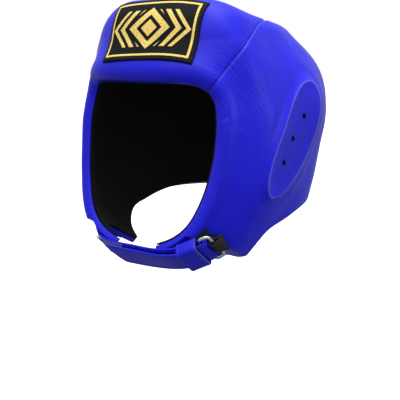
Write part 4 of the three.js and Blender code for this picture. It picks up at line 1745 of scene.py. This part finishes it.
class Curve:
    """A centripetal Catmull-Rom curve through points, read by its length."""

    def __init__(self, points: Array, samples: int = 600) -> None:
        """Runs the curve.

        Each span is a cubic whose end slopes come from its neighbours, spaced by the
        square root of their distances. The ends continue straight.

        Args:
            points: What the curve goes through.
            samples: How many straight pieces stand for it.
        """
        before, after = 2 * points[0] - points[1], 2 * points[-1] - points[-2]
        all_points = np.concatenate([[before], points, [after]])
        t = np.linspace(0, len(points) - 1, samples + 1)
        i = np.minimum(t.astype(int), len(points) - 2)
        s = (t - i)[:, None]
        p = [all_points[i + k] for k in range(4)]
        d = [np.sqrt(np.linalg.norm(p[k + 1] - p[k], axis=1, keepdims=True)) for k in range(3)]
        m1 = ((p[1] - p[0]) / d[0] - (p[2] - p[0]) / (d[0] + d[1]) + (p[2] - p[1]) / d[1]) * d[1]
        m2 = ((p[2] - p[1]) / d[1] - (p[3] - p[1]) / (d[1] + d[2]) + (p[3] - p[2]) / d[2]) * d[1]
        cubic = 2 * (p[1] - p[2]) + m1 + m2
        square = 3 * (p[2] - p[1]) - 2 * m1 - m2
        self.points = p[1] + s * (m1 + s * (square + s * cubic))
        self.lengths = lengths_along(self.points)

    def at(self, place: Array) -> Array:
        """Points at fractions of the curve's length."""
        return read_table(self.lengths, self.points, np.asarray(place, float) * self.lengths[-1])

    def tangent(self, place: Array, step: float = 4e-3) -> Array:
        """Direction of the curve at fractions of its length."""
        place = np.asarray(place, float)
        return unit(self.at(np.minimum(place + step, 1)) - self.at(np.maximum(place - step, 0)))


@dataclass
class ChinStrap:
    """The strap from the right jaw to the ring and back, its tapes, keeper, ring and tab."""

    padding: Padding
    finishes: Finishes
    width: float = 25
    thickness: float = 2.2
    edge: float = 0.9
    spacing: float = 6.4
    pressed: float = 4.8
    pressed_to: float = 0.6
    spaced_from: float = 0.85
    free_end: float = 0.3
    root: tuple[float, float] = (-46, -194)
    root_clearance: float = 2.1
    line: tuple[tuple[float, float, float], ...] = (
        (-37, -86.8, -209.6), (0, -88.5, -210.6), (36, -88.6, -208.6),
        (55, -84.6, -204.6), (72.6, -78.6, -195.7),
    )
    root_way: tuple[float, float, float] = (0.42, 0.75, -0.53)
    chin_way: tuple[float, float, float] = (0, 0.7, -0.71)
    ring_lean: tuple[float, float, float] = (0, 0.78, -0.62)
    # Where the strap leaves the jaw's slope, and where it takes up the ring's
    root_to: float = 0.35
    ring_from: float = 0.45
    ring_to: float = 0.85
    seat: float = 0.6
    steps: int = 150
    turn_steps: int = 12
    ring_long: float = 34.5
    ring_short: float = 12
    ring_corner: float = 3
    ring_wire: float = 3
    ring_points: int = 200
    wire_points: int = 24
    keeper_length: float = 19
    keeper_corner: float = 3.4
    keeper_thickness: float = 1.8
    keeper_edge: float = 0.7
    keeper_slack: float = 2.15
    keeper_place: float = 0.908
    keeper_points: int = 160
    keeper_inset: float = 2
    keeper_stitch: Thread = Thread(length=2.0, pitch=2.8, radius=0.32)
    tab_width: float = 13
    tab_thickness: float = 1.8
    tab_edge: float = 0.7
    tab_length: float = 7.5
    tab_turn: float = 1.15
    tab_gap: float = 0.4
    tab_steps: int = 12
    stitch: Thread = Thread()
    stitch_inset: float = 2.6
    tip_cut: float = 0.55
    tip_length: float = 13
    tape_from: float = 0.16
    tape_to: float = 0.42
    tape_thickness: float = 0.7
    tape_inset: float = 0.6
    tape_edge: float = 0.3
    tape_steps: int = 80
    # A face is raw from this share of facing along a cut edge
    raw_facing: float = 0.75
    raw_reach: float = 0.35
    # The black sheet behind the ring is painted shadow: its margin, the heights of its top and
    # underside, and its grid
    shadow_sheet_margin: float = 1
    shadow_sheet_top: float = 0.9
    shadow_sheet_under: float = 0.15
    shadow_sheet_grid: tuple[int, int] = (40, 20)

    def __post_init__(self) -> None:
        """Lays the strap's middle line from its root on the jaw to the ring."""
        azimuth = np.radians(self.root[0])
        row = self.padding.outline.head.row_at(self.root[1])
        lift = self.root_clearance + (self.thickness + self.pressed) / 2
        start = self.padding.surface(azimuth, row) + self.padding.outward(azimuth, row) * lift
        self.root_lean = unit(np.array(self.root_way))
        self.chin_lean = unit(np.array(self.chin_way))
        self.lean = unit(np.array(self.ring_lean))
        self.curve = Curve(np.concatenate([[start], np.array(self.line, float)]))
        end = self.curve.tangent(1.0)
        self.ring_way = unit(end - self.lean * (end @ self.lean))
        self.ring_normal = np.cross(self.lean, self.ring_way)
        self.end = self.curve.at(1.0)
        self.ring_depth = self.ring_short - self.ring_wire
        self.ring_centre = self.end + self.ring_way * self.ring_depth / 2

    def across(self, place: Array) -> Array:
        """Direction of the strap's width: flat on the jaw at the root, along the ring at its end.

        Args:
            place: Fractions of the middle line.

        Returns:
            The directions, of length 1.
        """
        place = np.asarray(place, float)
        start = smooth(0, self.root_to, place)[..., None]
        end = smooth(self.ring_from, self.ring_to, place)[..., None]
        return unit(mix(mix(self.root_lean, self.chin_lean, start), self.lean, end))

    def out(self, place: Array) -> Array:
        """Direction away from the chin."""
        return unit(np.cross(self.across(place), self.curve.tangent(place)))

    def half(self, place: Array) -> Array:
        """Distance of each layer from the middle line: less where the tapes hold them together."""
        return mix(self.pressed, self.spacing, smooth(self.pressed_to, self.spaced_from, place)) / 2

    def layer(self, place: Array, offset: Array) -> Array:
        """Points beside the middle line."""
        return self.curve.at(place) + self.out(place) * np.asarray(offset)[..., None]

    def way(self) -> tuple[Array, Array]:
        """The strap's path: inner layer, half a turn round the ring's bar, outer layer.

        Returns:
            Points, and the direction of the width at each.
        """
        inner = np.linspace(0, 1, self.steps)
        outer = np.linspace(1, self.free_end, self.steps)
        angle = np.linspace(0, np.pi, self.turn_steps + 2)[1:-1]
        ones = np.ones(len(angle))
        turn = self.layer(ones, -self.half(ones) * np.cos(angle))
        turn = turn + self.curve.tangent(1.0) * (self.half(ones) * np.sin(angle))[:, None]
        there, back = self.layer(inner, -self.half(inner)), self.layer(outer, self.half(outer))
        path = np.concatenate([there, turn, back])
        return path, self.across(np.concatenate([inner, ones, outer]))

    @staticmethod
    def frames(path: Array, across: Array) -> tuple[Array, Array]:
        """Side and outward directions square to a path.

        Args:
            path: Points of the path.
            across: Rough direction of the width at each.

        Returns:
            Side and outward directions, of length 1.
        """
        forward = unit(np.gradient(path, axis=0))
        side = unit(across - forward * np.sum(across * forward, axis=-1, keepdims=True))
        return side, np.cross(forward, side)

    def strap(self) -> None:
        """The leather strap, with a row of stitches inside each long edge of both faces."""
        path, across = self.way()
        side, out = self.frames(path, across)
        # The free end is cut at a slant: the width shrinks from its rear edge to the tip.
        under = np.where(np.arange(len(path)) < self.steps, np.inf, 0)
        to_tip = np.linalg.norm(path - path[-1], axis=1) + under
        share = 1 - self.tip_cut * smooth(self.tip_length, 0, to_tip)[:, None]
        path = path - side * (1 - share) * self.width / 2
        profile = rounded_profile(self.width, self.thickness, self.edge)
        Piece(
            "chin_strap_leather", *sweep(path, side * share, out, profile),
            [self.finishes.strap], "strap_leather", replaces=("chin_strap",),
        ).build()
        parts = []
        for edge in (-1, 1):
            for face in (-1, 1):
                line = path + side * edge * (share * self.width / 2 - self.stitch_inset)
                line = line + out * face * self.thickness / 2
                parts.append(self.stitch.row(line, out * face))
        Piece(
            "chin_strap_stitches", *joined(parts), [self.finishes.thread], "strap_leather",
        ).build()

    def tapes(self) -> None:
        """Hook tape on the free end and loop tape on the layer under it, with raw edges."""
        place = np.linspace(self.tape_from, self.tape_to, self.tape_steps)
        face = self.half(place) - (self.thickness + self.tape_thickness) / 2
        width = self.width - 2 * self.tape_inset
        profile = rounded_profile(width, self.tape_thickness, self.tape_edge, steps=2)
        # The raw edges are the faces whose middle is near the profile's two narrow sides.
        middle = np.abs(profile[:, 0] + np.roll(profile[:, 0], -1)) / 2
        narrow = middle > width / 2 - self.raw_reach
        for name, offset in (("loop_tape", -face), ("hook_tape", face)):
            path = self.layer(place, offset)
            side, out = self.frames(path, self.across(place))
            vertices, quads = sweep(path, side, out, profile)
            raw = np.zeros(len(quads), int)
            raw[: len(profile) * (len(path) - 1)] = np.tile(narrow, len(path) - 1)
            Piece(
                name, vertices, quads, [self.finishes.tape, self.finishes.raw_edge],
                "strap_leather", face_finish=raw,
            ).build()

    def keeper(self) -> None:
        """The sleeve round both layers, sewn along its edges."""
        place = np.array(self.keeper_place)
        centre, forward, out = self.curve.at(place), self.curve.tangent(place), self.out(place)
        spare = self.keeper_thickness + self.keeper_slack
        width, height = self.width + spare, self.spacing + self.thickness + spare
        loop = rounded_profile(width, height, self.keeper_corner, steps=8)
        loop = self.resampled(loop, self.keeper_points)
        path = centre + loop[:, :1] * self.lean + loop[:, 1:] * out
        way = np.roll(path, -1, axis=0) - np.roll(path, 1, axis=0)
        around = unit(way - forward * (way @ forward)[:, None])
        along = np.broadcast_to(forward, path.shape)
        normal = np.cross(along, around)
        profile = rounded_profile(self.keeper_length, self.keeper_thickness, self.keeper_edge)
        vertices, quads = sweep(path, along, normal, profile, closed=True)
        corner = vertices[quads]
        facing = unit(np.cross(corner[:, 1] - corner[:, 0], corner[:, 3] - corner[:, 0]))
        raw = np.abs(facing @ forward) > self.raw_facing
        Piece(
            "strap_keeper_leather", vertices, quads,
            [self.finishes.strap, self.finishes.raw_edge], "strap_leather",
            face_finish=raw.astype(int), replaces=("strap_keeper",),
        ).build()
        outward = normal * np.sign(np.sum((path - centre) * normal))
        again = np.arange(len(path) + 1) % len(path)
        parts = []
        for edge in (-1, 1):
            line = path + forward * edge * (self.keeper_length / 2 - self.keeper_inset)
            line = line + outward * self.keeper_thickness / 2
            parts.append(self.keeper_stitch.row(line[again], outward[again]))
        Piece(
            "strap_keeper_stitches", *joined(parts), [self.finishes.thread], "strap_leather",
        ).build()

    @staticmethod
    def resampled(loop: Array, count: int) -> Array:
        """A closed outline with evenly spaced points.

        Args:
            loop: Points of the outline.
            count: How many points it shall have.

        Returns:
            The new points, from the same start.
        """
        closed = np.concatenate([loop, loop[:1]])
        lengths = lengths_along(closed)
        return read_table(lengths, closed, np.arange(count) / count * lengths[-1])

    def ring(self) -> None:
        """The bent-wire ring: a round bar carried round a rounded rectangle."""
        long = self.ring_long - self.ring_wire
        loop = rounded_profile(long, self.ring_depth, self.ring_corner, steps=12)
        loop = self.resampled(loop, self.ring_points)
        path = self.ring_centre + loop[:, :1] * self.lean + loop[:, 1:] * self.ring_way
        around = unit(np.roll(path, -1, axis=0) - np.roll(path, 1, axis=0))
        normal = np.broadcast_to(self.ring_normal, path.shape)
        turn = np.linspace(0, 2 * np.pi, self.wire_points, endpoint=False)
        profile = self.ring_wire / 2 * np.stack([np.cos(turn), np.sin(turn)], axis=-1)
        Piece(
            "strap_ring_wire", *sweep(path, np.cross(around, normal), normal, profile, closed=True),
            [self.finishes.wire], "ring_metal", replaces=("strap_ring",),
        ).build()

    def nearest_node(self, target: Array) -> tuple[Array, Array]:
        """Place of the pads' outside that is nearest to a target, by a shrinking search.

        Args:
            target: A point near the pads.

        Returns:
            Azimuth and row of the place.
        """
        azimuth = np.arctan2(target[0], -target[1])
        row = self.padding.outline.head.row_at(target[2])
        step, least, shrink = 0.2, 5e-4, 0.6
        offsets = np.arange(-2, 3)
        while step > least:
            a, r = np.meshgrid(azimuth + offsets * step, row + offsets * step)
            gap = np.linalg.norm(self.padding.surface(a, r) - target, axis=-1)
            best = np.unravel_index(np.argmin(gap), gap.shape)
            azimuth, row, step = a[best], r[best], step * shrink
        return azimuth, row

    def tab(self) -> None:
        """The tab, sewn to the left jaw, round the ring's far bar and back under itself."""
        bar = self.end + self.ring_way * self.ring_depth
        reach = self.ring_wire / 2 + self.tab_thickness / 2 + self.tab_turn
        azimuth, row = self.nearest_node(bar + self.ring_way * self.tab_length)
        low = self.seat + self.tab_thickness / 2
        under = self.padding.surface(azimuth, row, low)
        over = self.padding.surface(azimuth, row, low + self.tab_thickness + self.tab_gap)
        normal = self.padding.outward(azimuth, row)
        flat = unit(self.lean - normal * (self.lean @ normal))
        angle = np.linspace(0, np.pi, self.tab_steps + 1)[:, None]
        turn = bar + self.ring_normal * reach * np.cos(angle) - self.ring_way * reach * np.sin(angle)
        t = np.linspace(0, 1, self.tab_steps, endpoint=False)[:, None]
        path = np.concatenate([mix(over, turn[0], t), turn, mix(under, turn[-1], t)[::-1]])
        lead = mix(flat, self.lean, smooth(0, 1, t))
        across = unit(np.concatenate([lead, np.broadcast_to(self.lean, turn.shape), lead[::-1]]))
        side, out = self.frames(path, across)
        profile = rounded_profile(self.tab_width, self.tab_thickness, self.tab_edge)
        Piece(
            "ring_tab_webbing", *sweep(path, side, out, profile),
            [self.finishes.webbing], "webbing_black", replaces=("ring_tab",),
        ).build()

    def painted_shadow_sheet(self) -> None:
        """A thin black sheet on the jaw behind the ring: painted shadow where the ring's opening falls
        in shade.

        Its four corners are the points of the jaw nearest to the ring's corners, and its
        grid blends azimuth and row between them.
        """
        half_long = self.lean * (self.ring_long / 2 - self.shadow_sheet_margin)
        half_short = self.ring_way * (self.ring_short / 2 + self.shadow_sheet_margin)
        corners = np.array([
            [self.nearest_node(self.ring_centre + half_long * a + half_short * b) for a in (-1, 1)]
            for b in (-1, 1)
        ])
        u, v = np.meshgrid(*(np.linspace(0, 1, count) for count in self.shadow_sheet_grid))
        u, v = u[..., None], v[..., None]
        node = mix(mix(corners[0, 0], corners[0, 1], u), mix(corners[1, 0], corners[1, 1], u), v)
        azimuth, row = node[..., 0], node[..., 1]
        vertices, quads = wall(
            self.padding.surface(azimuth, row, self.shadow_sheet_top),
            self.padding.surface(azimuth, row, self.shadow_sheet_under),
        )
        Piece("ring_painted_shadow_sheet", vertices, quads, [self.finishes.webbing], "webbing_black").build()

    def build(self) -> None:
        """Builds the strap and what is on it."""
        self.strap()
        self.tapes()
        self.keeper()
        self.ring()
        self.tab()
        # A black sheet behind the ring paints the shadow there.
        self.painted_shadow_sheet()


@dataclass
class Studio:
    """A pale floor, soft light and the camera."""

    azimuth: float = 38.9
    pitch: float = 10.5
    camera_place: tuple[float, float, float] = (513.1, -634.5, -21.7)
    lens: float = 76.5
    sensor: float = 36
    clip: tuple[float, float] = (0.05, 50)
    floor_z: float = -360
    floor_half: float = 6000
    floor_colour: str = "FFFFFF"
    sky_low: float = 0.3
    sky_high: float = 1.0
    sky_from: float = -0.5
    backdrop: float = 1.0
    # The window: direction that its light comes from, strength, and width in degrees
    window: tuple[float, float, float] = (0.15, -0.45, 1.0)
    window_strength: float = 1.9
    window_angle: float = 70
    # Each lamp: place in metres, size in metres, power in watts
    lamps: tuple[tuple[tuple[float, float, float], float, float], ...] = (
        ((0.1, 0.1, 1.1), 0.9, 8),
        ((1.2, 0.3, 0.2), 0.6, 2.5),
    )
    lamps_aim: tuple[float, float, float] = (0, 0, -0.11)

    def floor(self) -> None:
        """A wide sheet of matt paper that throws no light back at the object."""
        half, z = self.floor_half * MM, self.floor_z * MM
        corners = [(-half, -half, z), (half, -half, z), (half, half, z), (-half, half, z)]
        paper = PlainFinish(
            "matt_paper_white", self.floor_colour, 0.9, grit=4, depth=0.0, spread=0.01,
        )
        mesh = bpy.data.meshes.new("floor")
        mesh.from_pydata(corners, [], [(0, 1, 2, 3)])
        mesh.materials.append(paper.material())
        floor = bpy.data.objects.new("floor", mesh)
        bpy.context.scene.collection.objects.link(floor)
        floor.visible_diffuse = floor.visible_glossy = False

    def sky(self) -> None:
        """Light that falls from a bright ceiling to a dim floor, and a plain backdrop."""
        world = bpy.data.worlds.new("sky")
        world.use_nodes = True
        tree = world.node_tree
        sky = tree.nodes["Background"]
        sky.inputs["Color"].default_value = (1, 1, 1, 1)
        place = add_node(tree, "ShaderNodeTexCoord").outputs["Generated"]
        toward = add_node(tree, "ShaderNodeSeparateXYZ", {0: place})
        light = add_node(
            tree, "ShaderNodeMapRange",
            {0: toward.outputs[2], 1: self.sky_from, 2: 1.0, 3: self.sky_low, 4: self.sky_high},
        )
        seen = add_node(tree, "ShaderNodeLightPath").outputs["Is Camera Ray"]
        level = add_node(
            tree, "ShaderNodeMix", {0: seen, 2: light.outputs[0], 3: self.backdrop},
        )
        tree.links.new(level.outputs[0], sky.inputs["Strength"])
        bpy.context.scene.world = world

    def light(self) -> None:
        """A broad window and two softboxes that look at the object."""
        scene = bpy.context.scene
        window = bpy.data.lights.new("window", "SUN")
        window.energy, window.angle = self.window_strength, np.radians(self.window_angle)
        opening = bpy.data.objects.new(window.name, window)
        opening.rotation_euler = Vector(self.window).to_track_quat("Z", "Y").to_euler()
        scene.collection.objects.link(opening)
        for number, (place, size, power) in enumerate(self.lamps):
            lamp = bpy.data.lights.new(f"softbox_{number}", "AREA")
            lamp.size, lamp.energy = size, power
            holder = bpy.data.objects.new(lamp.name, lamp)
            holder.location = place
            aim = Vector(self.lamps_aim) - Vector(place)
            holder.rotation_euler = aim.to_track_quat("-Z", "Y").to_euler()
            scene.collection.objects.link(holder)

    def camera(self) -> None:
        """The camera at the photograph's place and angle."""
        scene = bpy.context.scene
        azimuth, pitch = np.radians(self.azimuth), np.radians(self.pitch)
        level = np.cos(pitch)
        ahead = Vector((-np.sin(azimuth) * level, np.cos(azimuth) * level, -np.sin(pitch)))
        lens = bpy.data.cameras.new("camera")
        lens.lens, lens.sensor_width = self.lens, self.sensor
        lens.clip_start, lens.clip_end = self.clip
        camera = bpy.data.objects.new("camera", lens)
        camera.location = Vector(self.camera_place) * MM
        camera.rotation_euler = ahead.to_track_quat("-Z", "Y").to_euler()
        scene.collection.objects.link(camera)
        scene.camera = camera

    def build(self) -> None:
        """Sets the floor, the sky, the lamps and the camera."""
        bpy.context.scene.view_settings.view_transform = "Standard"
        self.floor()
        self.sky()
        self.light()
        self.camera()


def main() -> None:
    """Builds the studio and the headgear piece by piece."""
    logging.basicConfig(level=logging.INFO, format="%(name)s: %(message)s")
    Studio().build()
    head = HeadForm()
    padding = Padding(Outline(head), EarCup(head))
    finishes = Finishes()
    Shell(padding, finishes).build()
    FrontPatch(padding, finishes).build()
    BackStrap(padding, finishes).build()
    ChinStrap(padding, finishes).build()


if __name__ == "__main__":
    main()
